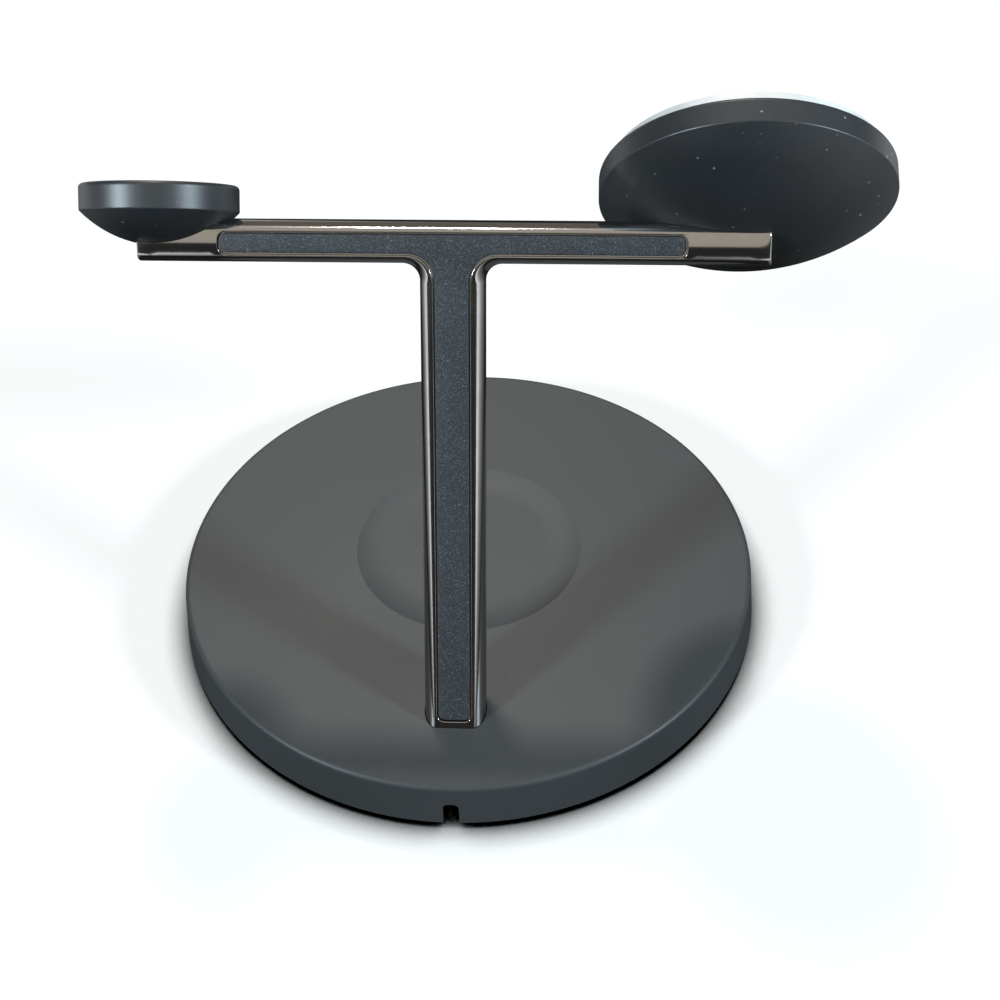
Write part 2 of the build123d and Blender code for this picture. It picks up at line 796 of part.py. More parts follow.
# Earbud coil on its shield and tray, against the underside of the dish
dish_plane = Plane(origin=(*dish_center, 0))
with BuildPart() as earbud_coil:
    draw_disc(dish_plane, coil_bottom, earbud_coil_dia, earbud_coil_thickness, earbud_coil_bore)
earbud_coil.part.label = "earbud_coil"
with BuildPart() as earbud_shield:
    draw_disc(dish_plane, shield_bottom, earbud_shield_dia, earbud_shield_thickness)
earbud_shield.part.label = "earbud_shield"
with BuildPart() as coil_tray:
    draw_disc(dish_plane, tray_bottom, coil_tray_dia, coil_tray_thickness)
coil_tray.part.label = "coil_tray"

# Cover screws, up through the cover into the housing's bosses
with BuildPart() as base_cover_screws:
    with BuildSketch(Plane.XY.offset(skirt_bottom + cover_head_height)):
        with cover_screw_places:
            Circle(cover_head_dia / 2)
    extrude(amount=seat_gap - cover_head_height)
    with BuildSketch(Plane.XY.offset(skirt_bottom + cover_head_height)):
        with cover_screw_places:
            Circle(cover_screw_dia / 2)
    extrude(amount=cover_screw_length - cover_head_height - seat_gap)
    with BuildSketch(Plane.XY.offset(skirt_bottom)):
        with cover_screw_places:
            RegularPolygon(cover_screw_dia / 2, 6)
    extrude(amount=cover_head_height / 2, mode=Mode.SUBTRACT)
base_cover_screws.part.label = "base_cover_screws"

# Solids of the two domes, which cut the seats in the ends of the bar
with BuildPart() as phone_dome_tool:
    draw_dome_tool(phone_plane, phone_dia, phone_dome)
with BuildPart() as watch_dome_tool:
    draw_dome_tool(watch_plane, watch_dia, watch_dome)

# Chrome frame: one casting, rounded from its mid plane to both faces
with BuildPart() as stand_frame:
    for step in range(round_steps + 1):
        turn = radians(90 * step / round_steps)
        with BuildSketch(stand_plane.offset(frame_depth / 2 * sin(turn))) as outline:
            draw_frame_outline(outline, 1 - cos(turn))
    loft()
    mirror(about=stand_plane)
    split(bisect_by=Plane.XY.offset(weight_top), keep=Keep.TOP)
    with BuildSketch(stand_plane.offset(inlay_bottom)) as pocket:
        draw_inlay_outline(pocket, inlay_gap)
    extrude(amount=frame_depth, mode=Mode.SUBTRACT)
    with BuildSketch(stand_plane.offset(lead_depth - lead_room)) as channel:
        draw_channel_outline(channel)
    extrude(amount=inlay_bottom - lead_depth + lead_room, mode=Mode.SUBTRACT)
    add(phone_dome_tool.part, mode=Mode.SUBTRACT)
    add(watch_dome_tool.part, mode=Mode.SUBTRACT)
    cut_lead_hole(phone_route[2], phone_route[3])
    cut_lead_hole(watch_route[2], watch_route[3])
    cut_pad_screw_holes(phone_plane, phone_dome, pad_screw_grip + seat_gap)
    cut_pad_screw_holes(watch_plane, watch_dome, pad_screw_grip + seat_gap)
    with BuildSketch(Plane.XY.offset(weight_top)):
        with Locations(*foot_screw_places):
            Circle((foot_screw_dia + screw_slack) / 2)
    extrude(amount=foot_screw_grip + seat_gap, mode=Mode.SUBTRACT)
stand_frame.part.label = "stand_frame"

# Inlay strip in its pocket
with BuildPart() as stand_inlay:
    with BuildSketch(stand_plane.offset(inlay_bottom)) as strip:
        draw_inlay_outline(strip, 0)
    extrude(amount=inlay_thickness)
stand_inlay.part.label = "stand_inlay"

# Countersunk screws, up through the weight into the foot of the frame
with BuildPart() as stand_foot_screws:
    with Locations(*[(x, y, weight_bottom) for x, y in foot_screw_places]):
        Cone(
            foot_head_dia / 2,
            foot_screw_dia / 2,
            foot_head_height,
            align=(Align.CENTER, Align.CENTER, Align.MIN),
        )
    with BuildSketch(Plane.XY.offset(weight_bottom)):
        with Locations(*foot_screw_places):
            Circle(foot_screw_dia / 2)
    extrude(amount=weight_thickness + foot_screw_grip)
    with BuildSketch(Plane.XY.offset(weight_bottom)):
        with Locations(*foot_screw_places):
            RegularPolygon(foot_screw_dia / 2, 6)
    extrude(amount=foot_head_height / 2, mode=Mode.SUBTRACT)
stand_foot_screws.part.label = "stand_foot_screws"

# Leads from the connector to the pads
with BuildPart() as phone_lead:
    draw_lead(phone_route)
phone_lead.part.label = "phone_lead"
with BuildPart() as watch_lead:
    draw_lead(watch_route)
watch_lead.part.label = "watch_lead"

# Phone pad: domed housing, screws, and a charging module in a metal cup
with BuildPart() as phone_pad_housing:
    draw_pad_shell(phone_plane, phone_dia, phone_rim, phone_dome, phone_wall, phone_cup_dia)
    draw_pad_bosses(phone_plane, phone_dome, phone_wall)
    rim_edges = ring_edges(phone_pad_housing, phone_dia / 2).sort_by(axis_of(phone_plane))
    fillet(rim_edges[-1], pad_rim_round)
    rim_edges = ring_edges(phone_pad_housing, phone_dia / 2).sort_by(axis_of(phone_plane))
    fillet(rim_edges[0], pad_dome_round)
    cut_pad_screw_holes(phone_plane, phone_dome, seat_gap)
    cut_lead_hole(phone_route[2], phone_route[3])
phone_pad_housing.part.label = "phone_pad_housing"
with BuildPart() as phone_pad_screws:
    draw_pan_screws(
        phone_plane.offset(phone_wall + pad_boss_height - phone_dome),
        phone_wall + pad_boss_height + pad_screw_grip,
    )
phone_pad_screws.part.label = "phone_pad_screws"
phone_cup_height = phone_rim - pad_ledge + phone_cup_proud
phone_stack = pad_ledge + cup_floor
phone_stack_height = phone_board_thickness + phone_shield_thickness + phone_coil_thickness
with BuildPart() as phone_pad_cup:
    draw_cup(phone_plane, phone_cup_dia, phone_cup_height)
phone_pad_cup.part.label = "phone_pad_cup"
with BuildPart() as phone_pad_board:
    draw_disc(phone_plane, phone_stack, phone_coil_dia, phone_board_thickness)
phone_pad_board.part.label = "phone_pad_board"
with BuildPart() as phone_pad_shield:
    phone_shield_level = phone_stack + phone_board_thickness
    draw_disc(phone_plane, phone_shield_level, phone_shield_dia, phone_shield_thickness)
phone_pad_shield.part.label = "phone_pad_shield"
with BuildPart() as phone_pad_coil:
    phone_coil_level = phone_shield_level + phone_shield_thickness
    draw_disc(phone_plane, phone_coil_level, phone_coil_dia, phone_coil_thickness, phone_coil_bore)
phone_pad_coil.part.label = "phone_pad_coil"
with BuildPart() as phone_pad_magnets:
    with BuildSketch(phone_plane.offset(phone_stack)):
        Circle(phone_face_dia / 2)
        Circle(magnet_ring_inside / 2, mode=Mode.SUBTRACT)
        with PolarLocations((phone_face_dia - magnet_width) / 2, magnet_count):
            Rectangle(2 * magnet_width, magnet_gap, mode=Mode.SUBTRACT)
    extrude(amount=phone_stack_height)
phone_pad_magnets.part.label = "phone_pad_magnets"
with BuildPart() as phone_pad_face:
    phone_face_level = phone_stack + phone_stack_height
    phone_face_top = phone_rim + phone_cup_proud + phone_face_proud
    draw_disc(phone_plane, phone_face_level, phone_face_dia, phone_face_top - phone_face_level)
    fillet(phone_pad_face.faces().sort_by(axis_of(phone_plane))[-1].edges(), phone_face_round)
phone_pad_face.part.label = "phone_pad_face"

# Watch pad: the same build, smaller, with a hollow face
with BuildPart() as watch_pad_housing:
    draw_pad_shell(watch_plane, watch_dia, watch_rim, watch_dome, watch_wall, watch_cup_dia)
    draw_pad_bosses(watch_plane, watch_dome, watch_wall)
    rim_edges = ring_edges(watch_pad_housing, watch_dia / 2).sort_by(axis_of(watch_plane))
    fillet(rim_edges[-1], pad_rim_round)
    rim_edges = ring_edges(watch_pad_housing, watch_dia / 2).sort_by(axis_of(watch_plane))
    fillet(rim_edges[0], pad_dome_round)
    cut_pad_screw_holes(watch_plane, watch_dome, seat_gap)
    cut_lead_hole(watch_route[2], watch_route[3])
watch_pad_housing.part.label = "watch_pad_housing"
with BuildPart() as watch_pad_screws:
    draw_pan_screws(
        watch_plane.offset(watch_wall + pad_boss_height - watch_dome),
        watch_wall + pad_boss_height + pad_screw_grip,
    )
watch_pad_screws.part.label = "watch_pad_screws"
watch_stack = pad_ledge + cup_floor
watch_coil_level = watch_stack + watch_shield_thickness
with BuildPart() as watch_pad_cup:
    draw_cup(watch_plane, watch_cup_dia, watch_rim - pad_ledge - watch_cup_drop)
watch_pad_cup.part.label = "watch_pad_cup"
with BuildPart() as watch_pad_shield:
    draw_disc(watch_plane, watch_stack, watch_shield_dia, watch_shield_thickness)
watch_pad_shield.part.label = "watch_pad_shield"
with BuildPart() as watch_pad_coil:
    draw_disc(watch_plane, watch_coil_level, watch_coil_dia, watch_coil_thickness, watch_coil_bore)
watch_pad_coil.part.label = "watch_pad_coil"
with BuildPart() as watch_pad_magnet:
    draw_disc(watch_plane, watch_coil_level, watch_magnet_dia, watch_coil_thickness)
watch_pad_magnet.part.label = "watch_pad_magnet"
with BuildPart() as watch_pad_face:
    watch_face_level = watch_coil_level + watch_coil_thickness
    watch_face_top = watch_rim - watch_cup_drop
    draw_disc(watch_plane, watch_face_level, watch_face_dia, watch_face_top - watch_face_level)
    hollow_sphere = cap_sphere(watch_face_dia / 2 - watch_face_edge, watch_face_hollow)
    hollow_center = watch_face_top - watch_face_hollow + hollow_sphere
    with Locations(watch_plane.origin + watch_plane.z_dir * hollow_center):
        Sphere(hollow_sphere, mode=Mode.SUBTRACT)
watch_pad_face.part.label = "watch_pad_face"

pieces = [
    base_top_housing,
    indicator_lens,
    base_bottom_cover,
    base_foot,
    base_weight,
    base_circuit_board,
    power_inlet,
    stand_connector,
    earbud_coil,
    earbud_shield,
    coil_tray,
    base_cover_screws,
    stand_frame,
    stand_inlay,
    stand_foot_screws,
    phone_lead,
    watch_lead,
    phone_pad_housing,
    phone_pad_screws,
    phone_pad_cup,
    phone_pad_board,
    phone_pad_shield,
    phone_pad_coil,
    phone_pad_magnets,
    phone_pad_face,
    watch_pad_housing,
    watch_pad_screws,
    watch_pad_cup,
    watch_pad_shield,
    watch_pad_coil,
    watch_pad_magnet,
    watch_pad_face,
]
os.makedirs("parts", exist_ok=True)
for piece in pieces:
    export_step(piece.part, f"parts/{piece.part.label}.step")
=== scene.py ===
import math

import bmesh
import bpy
from mathutils import Euler, Matrix, Vector


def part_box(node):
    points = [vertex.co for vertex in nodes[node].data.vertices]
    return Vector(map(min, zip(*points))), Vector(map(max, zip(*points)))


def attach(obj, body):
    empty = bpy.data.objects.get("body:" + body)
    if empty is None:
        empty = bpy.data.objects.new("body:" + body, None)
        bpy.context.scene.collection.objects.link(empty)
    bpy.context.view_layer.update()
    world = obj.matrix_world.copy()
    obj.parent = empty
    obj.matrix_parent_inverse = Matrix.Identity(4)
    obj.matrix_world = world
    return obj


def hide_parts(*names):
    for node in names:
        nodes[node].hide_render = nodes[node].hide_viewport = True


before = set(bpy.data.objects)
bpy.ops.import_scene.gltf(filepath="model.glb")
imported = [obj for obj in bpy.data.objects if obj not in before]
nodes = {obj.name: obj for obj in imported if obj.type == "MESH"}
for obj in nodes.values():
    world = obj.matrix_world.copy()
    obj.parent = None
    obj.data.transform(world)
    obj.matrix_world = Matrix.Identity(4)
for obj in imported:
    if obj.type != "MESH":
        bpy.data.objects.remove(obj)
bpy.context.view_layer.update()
mm = 0.001
print("frame loaded:", len(nodes), "nodes")

# the frame leans forward; x runs to the right seen from behind, y up the column, z out of its back
stand = {"back": 46.4, "top": 13.0, "lean": 28.1, "foot": 10.0}
leanSin, leanCos = math.sin(math.radians(stand["lean"])), math.cos(math.radians(stand["lean"]))
standMatrix = Matrix((
    (-1, 0, 0, 0),
    (0, -leanSin, leanCos, stand["back"]),
    (0, leanCos, leanSin, stand["top"]),
    (0, 0, 0, 1),
))


# shader groups shared by the finishes

def newGroup(name, inputs, outputs):
    tree = bpy.data.node_groups.new(name, "ShaderNodeTree")
    for label, kind, value in inputs:
        socket = tree.interface.new_socket(label, in_out="INPUT", socket_type="NodeSocket" + kind)
        socket.default_value = value
    for label, kind in outputs:
        tree.interface.new_socket(label, in_out="OUTPUT", socket_type="NodeSocket" + kind)
    return tree, tree.nodes.new("NodeGroupInput").outputs, tree.nodes.new("NodeGroupOutput").inputs


def addNode(tree, kind, **settings):
    node = tree.nodes.new("ShaderNode" + kind)
    for key, value in settings.items():
        setattr(node, key, value)
    return node


def mathNode(tree, operation, first, second, clamp=False):
    node = addNode(tree, "Math", operation=operation, use_clamp=clamp)
    for socket, value in zip(node.inputs, (first, second)):
        if isinstance(value, (int, float)):
            socket.default_value = value
        else:
            tree.links.new(value, socket)
    return node.outputs[0]


def noiseNode(tree, vector, scale, detail=3.0, roughness=0.5):
    node = addNode(tree, "TexNoise")
    node.inputs["Detail"].default_value = detail
    node.inputs["Roughness"].default_value = roughness
    tree.links.new(vector, node.inputs["Vector"])
    if isinstance(scale, (int, float)):
        node.inputs["Scale"].default_value = scale
    else:
        tree.links.new(scale, node.inputs["Scale"])
    return node.outputs["Fac"]


def spreadNode(tree, value, low, high):
    node = addNode(tree, "MapRange")
    node.inputs["From Min"].default_value = low
    node.inputs["From Max"].default_value = high
    tree.links.new(value, node.inputs["Value"])
    return node.outputs["Result"]


def mixColour(tree, factor, first, second):
    node = addNode(tree, "Mix", data_type="RGBA")
    tree.links.new(factor, node.inputs["Factor"])
    for socket, value in ((node.inputs[6], first), (node.inputs[7], second)):
        if isinstance(value, tuple):
            socket.default_value = (*value, 1.0)
        else:
            tree.links.new(value, socket)
    return node.outputs[2]


# cloudy change of shade, broad and fine
cloudMix = {"span": (0.3, 0.7), "fine": 0.35, "broad": 0.65}
mottleTree, given, out = newGroup(
    "cloudyShade", [("Broad", "Float", 30.0), ("Fine", "Float", 400.0)], [("Cloud", "Float")])
place = addNode(mottleTree, "TexCoord").outputs["Object"]
broad = spreadNode(mottleTree, noiseNode(mottleTree, place, given["Broad"]), *cloudMix["span"])
fine = spreadNode(mottleTree, noiseNode(mottleTree, place, given["Fine"]), *cloudMix["span"])
mixed = mathNode(mottleTree, "MULTIPLY_ADD", fine, cloudMix["fine"])
scaled = mathNode(mottleTree, "MULTIPLY", broad, cloudMix["broad"])
mottleTree.links.new(scaled, mixed.node.inputs[2])
mottleTree.links.new(mixed, out["Cloud"])

# sparse specks of dust, each in its own cell
dustTree, given, out = newGroup(
    "dustSpecks",
    [("Scale", "Float", 400.0), ("Cover", "Float", 0.05), ("Size", "Float", 0.2)], [("Speck", "Float")])
place = addNode(dustTree, "TexCoord").outputs["Object"]
cells = addNode(dustTree, "TexVoronoi")
dustTree.links.new(place, cells.inputs["Vector"])
dustTree.links.new(given["Scale"], cells.inputs["Scale"])
parts = addNode(dustTree, "SeparateColor")
dustTree.links.new(cells.outputs["Color"], parts.inputs["Color"])
chosen = mathNode(dustTree, "LESS_THAN", parts.outputs["Red"], given["Cover"])
reach = mathNode(dustTree, "MULTIPLY", parts.outputs["Green"], given["Size"])
near = mathNode(dustTree, "LESS_THAN", cells.outputs["Distance"], reach)
shade = mathNode(dustTree, "MULTIPLY", mathNode(dustTree, "MULTIPLY", chosen, near), parts.outputs["Blue"])
dustTree.links.new(shade, out["Speck"])

# even fine grain for bump and sparkle
grainNoise = {"detail": 2.0, "roughness": 0.6, "sparkle": (0.56, 0.74)}
grainTree, given, out = newGroup(
    "fineGrain", [("Scale", "Float", 3000.0)], [("Height", "Float"), ("Sparkle", "Float")])
place = addNode(grainTree, "TexCoord").outputs["Object"]
grain = noiseNode(grainTree, place, given["Scale"], grainNoise["detail"], grainNoise["roughness"])
grainTree.links.new(grain, out["Height"])
grainTree.links.new(spreadNode(grainTree, grain, *grainNoise["sparkle"]), out["Sparkle"])

# streaks drawn out along one direction, as a brush or a mould leaves them
streakNoise = {"scale": 1.0, "detail": 2.0, "span": (0.25, 0.75)}
streakTree, given, out = newGroup(
    "drawnStreaks", [("Stretch", "Vector", (20.0, 2000.0, 2000.0))], [("Streak", "Float")])
place = addNode(streakTree, "TexCoord").outputs["Object"]
stretched = addNode(streakTree, "VectorMath", operation="MULTIPLY")
streakTree.links.new(place, stretched.inputs[0])
streakTree.links.new(given["Stretch"], stretched.inputs[1])
streak = noiseNode(streakTree, stretched.outputs[0], streakNoise["scale"], streakNoise["detail"])
streakTree.links.new(spreadNode(streakTree, streak, *streakNoise["span"]), out["Streak"])

# rings about an axis through a point, for wound and turned pieces
ringTree, given, out = newGroup(
    "turnedRings",
    [("Centre", "Vector", (0, 0, 0)), ("Turn", "Vector", (0, 0, 0)), ("Pitch", "Float", 1000.0)],
    [("Ring", "Float")])
place = addNode(ringTree, "TexCoord").outputs["Object"]
moved = addNode(ringTree, "VectorMath", operation="SUBTRACT")
ringTree.links.new(place, moved.inputs[0])
ringTree.links.new(given["Centre"], moved.inputs[1])
turned = addNode(ringTree, "VectorRotate", rotation_type="EULER_XYZ", invert=True)
ringTree.links.new(moved.outputs[0], turned.inputs["Vector"])
ringTree.links.new(given["Turn"], turned.inputs["Rotation"])
flat = addNode(ringTree, "VectorMath", operation="MULTIPLY")
flat.inputs[1].default_value = (1, 1, 0)
ringTree.links.new(turned.outputs[0], flat.inputs[0])
far = addNode(ringTree, "VectorMath", operation="LENGTH")
ringTree.links.new(flat.outputs[0], far.inputs[0])
wave = mathNode(ringTree, "SINE", mathNode(ringTree, "MULTIPLY", far.outputs["Value"], given["Pitch"]), 0.0)
ringTree.links.new(spreadNode(ringTree, wave, -1.0, 1.0), out["Ring"])
print("shader groups made")


# materials

def newMaterial(name, **constants):
    material = bpy.data.materials.new(name)
    material.use_nodes = True
    shader = material.node_tree.nodes["Principled BSDF"]
    for key, value in constants.items():
        shader.inputs[key.replace("_", " ")].default_value = value
    return material, material.node_tree, shader


def useGroup(tree, group, **values):
    node = addNode(tree, "Group", node_tree=group)
    for key, value in values.items():
        node.inputs[key].default_value = value
    return node.outputs


def linkRoughness(tree, shader, value, low, high):
    node = addNode(tree, "MapRange")
    node.inputs["To Min"].default_value = low
    node.inputs["To Max"].default_value = high
    tree.links.new(value, node.inputs["Value"])
    tree.links.new(node.outputs["Result"], shader.inputs["Roughness"])


def linkBump(tree, shader, height, strength, distance):
    node = addNode(tree, "Bump")
    node.inputs["Strength"].default_value = strength
    node.inputs["Distance"].default_value = distance
    tree.links.new(height, node.inputs["Height"])
    tree.links.new(node.outputs["Normal"], shader.inputs["Normal"])


bumpDepth = {"plastic": 0.0001, "metal": 0.00002, "inlay": 0.00012, "ring": 0.00005, "board": 0.00005}


def plasticFinish(name, look):
    material, tree, shader = newMaterial(name, Specular_IOR_Level=look["gloss"])
    cloud = useGroup(tree, mottleTree, Broad=look["broad"], Fine=look["fine"])["Cloud"]
    speck = useGroup(
        tree, dustTree, Scale=look["dustScale"], Cover=look["dustCover"], Size=look["dustSize"])["Speck"]
    grain = useGroup(tree, grainTree, Scale=look["grain"])
    colour = mixColour(tree, cloud, look["dark"], look["light"])
    tree.links.new(mixColour(tree, speck, colour, look["dust"]), shader.inputs["Base Color"])
    linkRoughness(tree, shader, cloud, *look["rough"])
    linkBump(tree, shader, grain["Height"], look["bump"], bumpDepth["plastic"])
    return material


def metalFinish(name, look):
    material, tree, shader = newMaterial(name, Metallic=1.0)
    streak = useGroup(tree, streakTree, Stretch=look["stretch"])["Streak"]
    cloud = useGroup(tree, mottleTree, Broad=look["broad"], Fine=look["fine"])["Cloud"]
    shade = mathNode(tree, "MULTIPLY", streak, cloud)
    tree.links.new(mixColour(tree, shade, look["dark"], look["light"]), shader.inputs["Base Color"])
    linkRoughness(tree, shader, cloud, *look["rough"])
    if look["bump"]:
        linkBump(tree, shader, streak, look["bump"], bumpDepth["metal"])
    return material


baseLook = {
    "dark": (0.055, 0.057, 0.058), "light": (0.064, 0.065, 0.065), "dust": (0.18, 0.18, 0.18),
    "gloss": 0.34, "rough": (0.42, 0.50), "broad": 22.0, "fine": 900.0,
    "dustScale": 700.0, "dustCover": 0.012, "dustSize": 0.16, "grain": 5200.0, "bump": 0.12,
}
padLook = {
    "dark": (0.021, 0.023, 0.026), "light": (0.029, 0.032, 0.036), "dust": (0.34, 0.33, 0.30),
    "gloss": 0.72, "rough": (0.37, 0.43), "broad": 60.0, "fine": 1200.0,
    "dustScale": 620.0, "dustCover": 0.14, "dustSize": 0.26, "grain": 4200.0, "bump": 0.20,
}
mouldedLook = {
    "dark": (0.018, 0.018, 0.019), "light": (0.028, 0.028, 0.029), "dust": (0.20, 0.20, 0.20),
    "gloss": 0.35, "rough": (0.50, 0.62), "broad": 40.0, "fine": 1500.0,
    "dustScale": 300.0, "dustCover": 0.02, "dustSize": 0.15, "grain": 2600.0, "bump": 0.35,
}
rubberLook = {
    "dark": (0.020, 0.020, 0.021), "light": (0.034, 0.034, 0.035), "dust": (0.28, 0.27, 0.25),
    "gloss": 0.20, "rough": (0.75, 0.90), "broad": 60.0, "fine": 1100.0,
    "dustScale": 350.0, "dustCover": 0.10, "dustSize": 0.15, "grain": 1800.0, "bump": 0.40,
}
faceLook = {
    "dark": (0.84, 0.85, 0.85), "light": (0.89, 0.90, 0.90), "dust": (0.70, 0.70, 0.70),
    "gloss": 0.45, "rough": (0.24, 0.34), "broad": 50.0, "fine": 800.0,
    "dustScale": 300.0, "dustCover": 0.02, "dustSize": 0.15, "grain": 4000.0, "bump": 0.05,
}
sheathLook = {
    "dark": (0.020, 0.020, 0.022), "light": (0.036, 0.036, 0.038), "dust": (0.10, 0.10, 0.10),
    "gloss": 0.40, "rough": (0.40, 0.55), "broad": 200.0, "fine": 2000.0,
    "dustScale": 600.0, "dustCover": 0.03, "dustSize": 0.15, "grain": 6000.0, "bump": 0.15,
}
chromeLook = {
    "dark": (0.50, 0.48, 0.47), "light": (0.60, 0.585, 0.575), "rough": (0.105, 0.120),
    "stretch": (30.0, 220.0, 220.0), "broad": 70.0, "fine": 900.0, "bump": 0.0,
}
steelLook = {
    "dark": (0.42, 0.42, 0.43), "light": (0.62, 0.62, 0.62), "rough": (0.28, 0.42),
    "stretch": (40.0, 2600.0, 2600.0), "broad": 60.0, "fine": 900.0, "bump": 0.25,
}
screwLook = {
    "dark": (0.30, 0.30, 0.31), "light": (0.55, 0.55, 0.55), "rough": (0.22, 0.36),
    "stretch": (2500.0, 2500.0, 300.0), "broad": 300.0, "fine": 2500.0, "bump": 0.20,
}
inletLook = {
    "dark": (0.50, 0.50, 0.51), "light": (0.70, 0.70, 0.70), "rough": (0.18, 0.30),
    "stretch": (3000.0, 150.0, 3000.0), "broad": 200.0, "fine": 2500.0, "bump": 0.15,
}
nickelLook = {
    "dark": (0.50, 0.49, 0.46), "light": (0.66, 0.65, 0.61), "rough": (0.16, 0.28),
    "stretch": (900.0, 900.0, 900.0), "broad": 120.0, "fine": 1800.0, "bump": 0.10,
}


def inlayFinish(name, look):
    material, tree, shader = newMaterial(name, Specular_IOR_Level=look["gloss"])
    grain = useGroup(tree, grainTree, Scale=look["grain"])
    cloud = useGroup(tree, mottleTree, Broad=look["broad"], Fine=look["fine"])["Cloud"]
    colour = mixColour(tree, cloud, look["dark"], look["light"])
    tree.links.new(mixColour(tree, grain["Sparkle"], colour, look["sparkle"]), shader.inputs["Base Color"])
    linkRoughness(tree, shader, grain["Sparkle"], *look["rough"])
    linkBump(tree, shader, grain["Height"], look["bump"], bumpDepth["inlay"])
    return material


def ringFinish(name, look):
    material, tree, shader = newMaterial(name, Metallic=look["metal"])
    ring = useGroup(
        tree, ringTree, Centre=[v * mm for v in look["centre"]],
        Turn=[math.radians(v) for v in look["turn"]], Pitch=2 * math.pi / (look["pitch"] * mm))["Ring"]
    cloud = useGroup(tree, mottleTree, Broad=look["broad"], Fine=look["fine"])["Cloud"]
    shade = mathNode(tree, "MULTIPLY", ring, cloud)
    tree.links.new(mixColour(tree, shade, look["dark"], look["light"]), shader.inputs["Base Color"])
    linkRoughness(tree, shader, cloud, *look["rough"])
    linkBump(tree, shader, ring, look["bump"], bumpDepth["ring"])
    return material


def boardFinish(name, look):
    material, tree, shader = newMaterial(name, Specular_IOR_Level=look["gloss"])
    place = addNode(tree, "TexCoord").outputs["Object"]
    tracks = addNode(tree, "TexBrick", offset=0.5)
    tree.links.new(place, tracks.inputs["Vector"])
    for key, value in (("Scale", look["scale"]), ("Mortar Size", look["line"]),
                       ("Brick Width", look["width"]), ("Row Height", look["row"])):
        tracks.inputs[key].default_value = value
    cloud = useGroup(tree, mottleTree, Broad=look["broad"], Fine=look["fine"])["Cloud"]
    colour = mixColour(tree, cloud, look["dark"], look["light"])
    tree.links.new(mixColour(tree, tracks.outputs["Fac"], colour, look["track"]), shader.inputs["Base Color"])
    linkRoughness(tree, shader, cloud, *look["rough"])
    linkBump(tree, shader, tracks.outputs["Fac"], look["bump"], bumpDepth["board"])
    return material


def lensFinish(name, look):
    material, tree, shader = newMaterial(name, Transmission_Weight=look["clear"], IOR=look["index"])
    cloud = useGroup(tree, mottleTree, Broad=look["broad"], Fine=look["fine"])["Cloud"]
    tree.links.new(mixColour(tree, cloud, look["dark"], look["light"]), shader.inputs["Base Color"])
    linkRoughness(tree, shader, cloud, *look["rough"])
    return material


inlayLook = {
    "dark": (0.018, 0.021, 0.025), "light": (0.030, 0.034, 0.040), "sparkle": (0.24, 0.255, 0.28),
    "gloss": 0.55, "rough": (0.46, 0.30), "broad": 60.0, "fine": 1600.0, "grain": 4400.0, "bump": 0.75,
}
phoneTurn, watchTurn = (62.5, 0, 0), (36.8, 0, 0)
cupLook = {
    "metal": 1.0, "dark": (0.88, 0.89, 0.89), "light": (0.95, 0.95, 0.95), "rough": (0.54, 0.66), "bump": 0.08,
    "broad": 150.0, "fine": 2000.0,
}
ferriteLook = {
    "dark": (0.030, 0.030, 0.032), "light": (0.055, 0.055, 0.058), "dust": (0.12, 0.12, 0.12),
    "gloss": 0.30, "rough": (0.55, 0.70), "broad": 120.0, "fine": 2500.0,
    "dustScale": 900.0, "dustCover": 0.30, "dustSize": 0.15, "grain": 3500.0, "bump": 0.30,
}
copperLook = {
    "dark": (0.55, 0.25, 0.12), "light": (0.80, 0.42, 0.24), "rough": (0.25, 0.38),
    "stretch": (900.0, 900.0, 900.0), "broad": 200.0, "fine": 2500.0, "bump": 0.10,
}
boardLook = {
    "dark": (0.012, 0.075, 0.030), "light": (0.018, 0.110, 0.045), "track": (0.030, 0.150, 0.060), "scale": 160.0,
    "line": 0.03, "width": 1.3, "row": 0.22, "gloss": 0.45, "rough": (0.30, 0.42), "broad": 150.0, "fine": 1500.0,
    "bump": 0.3,
}
lensLook = {
    "dark": (0.70, 0.72, 0.74), "light": (0.85, 0.86, 0.87), "clear": 0.6, "index": 1.49,
    "rough": (0.12, 0.22), "broad": 300.0, "fine": 3000.0,
}

softTouchBase = plasticFinish("softTouchBase", baseLook)
softTouchPad = plasticFinish("softTouchPad", padLook)
mouldedBlack = plasticFinish("mouldedBlack", mouldedLook)
footRubber = plasticFinish("footRubber", rubberLook)
faceWhite = plasticFinish("faceWhite", faceLook)
leadSheath = plasticFinish("leadSheath", sheathLook)
ferriteGrey = plasticFinish("ferriteGrey", ferriteLook)
darkChrome = metalFinish("darkChrome", chromeLook)
platedSteel = metalFinish("platedSteel", steelLook)
screwSteel = metalFinish("screwSteel", screwLook)
inletSteel = metalFinish("inletSteel", inletLook)
magnetNickel = metalFinish("magnetNickel", nickelLook)
windingCopper = metalFinish("windingCopper", copperLook)
slateInlay = inlayFinish("slateInlay", inlayLook)
phoneCupMetal = ringFinish(
    "phoneCupMetal", {**cupLook, "centre": (-60.0, -17.4, 112.0), "turn": phoneTurn, "pitch": 0.5})
watchCupMetal = ringFinish(
    "watchCupMetal", {**cupLook, "centre": (60.5, -8.0, 111.8), "turn": watchTurn, "pitch": 0.5})
boardGreen = boardFinish("boardGreen", boardLook)
lensClear = lensFinish("lensClear", lensLook)

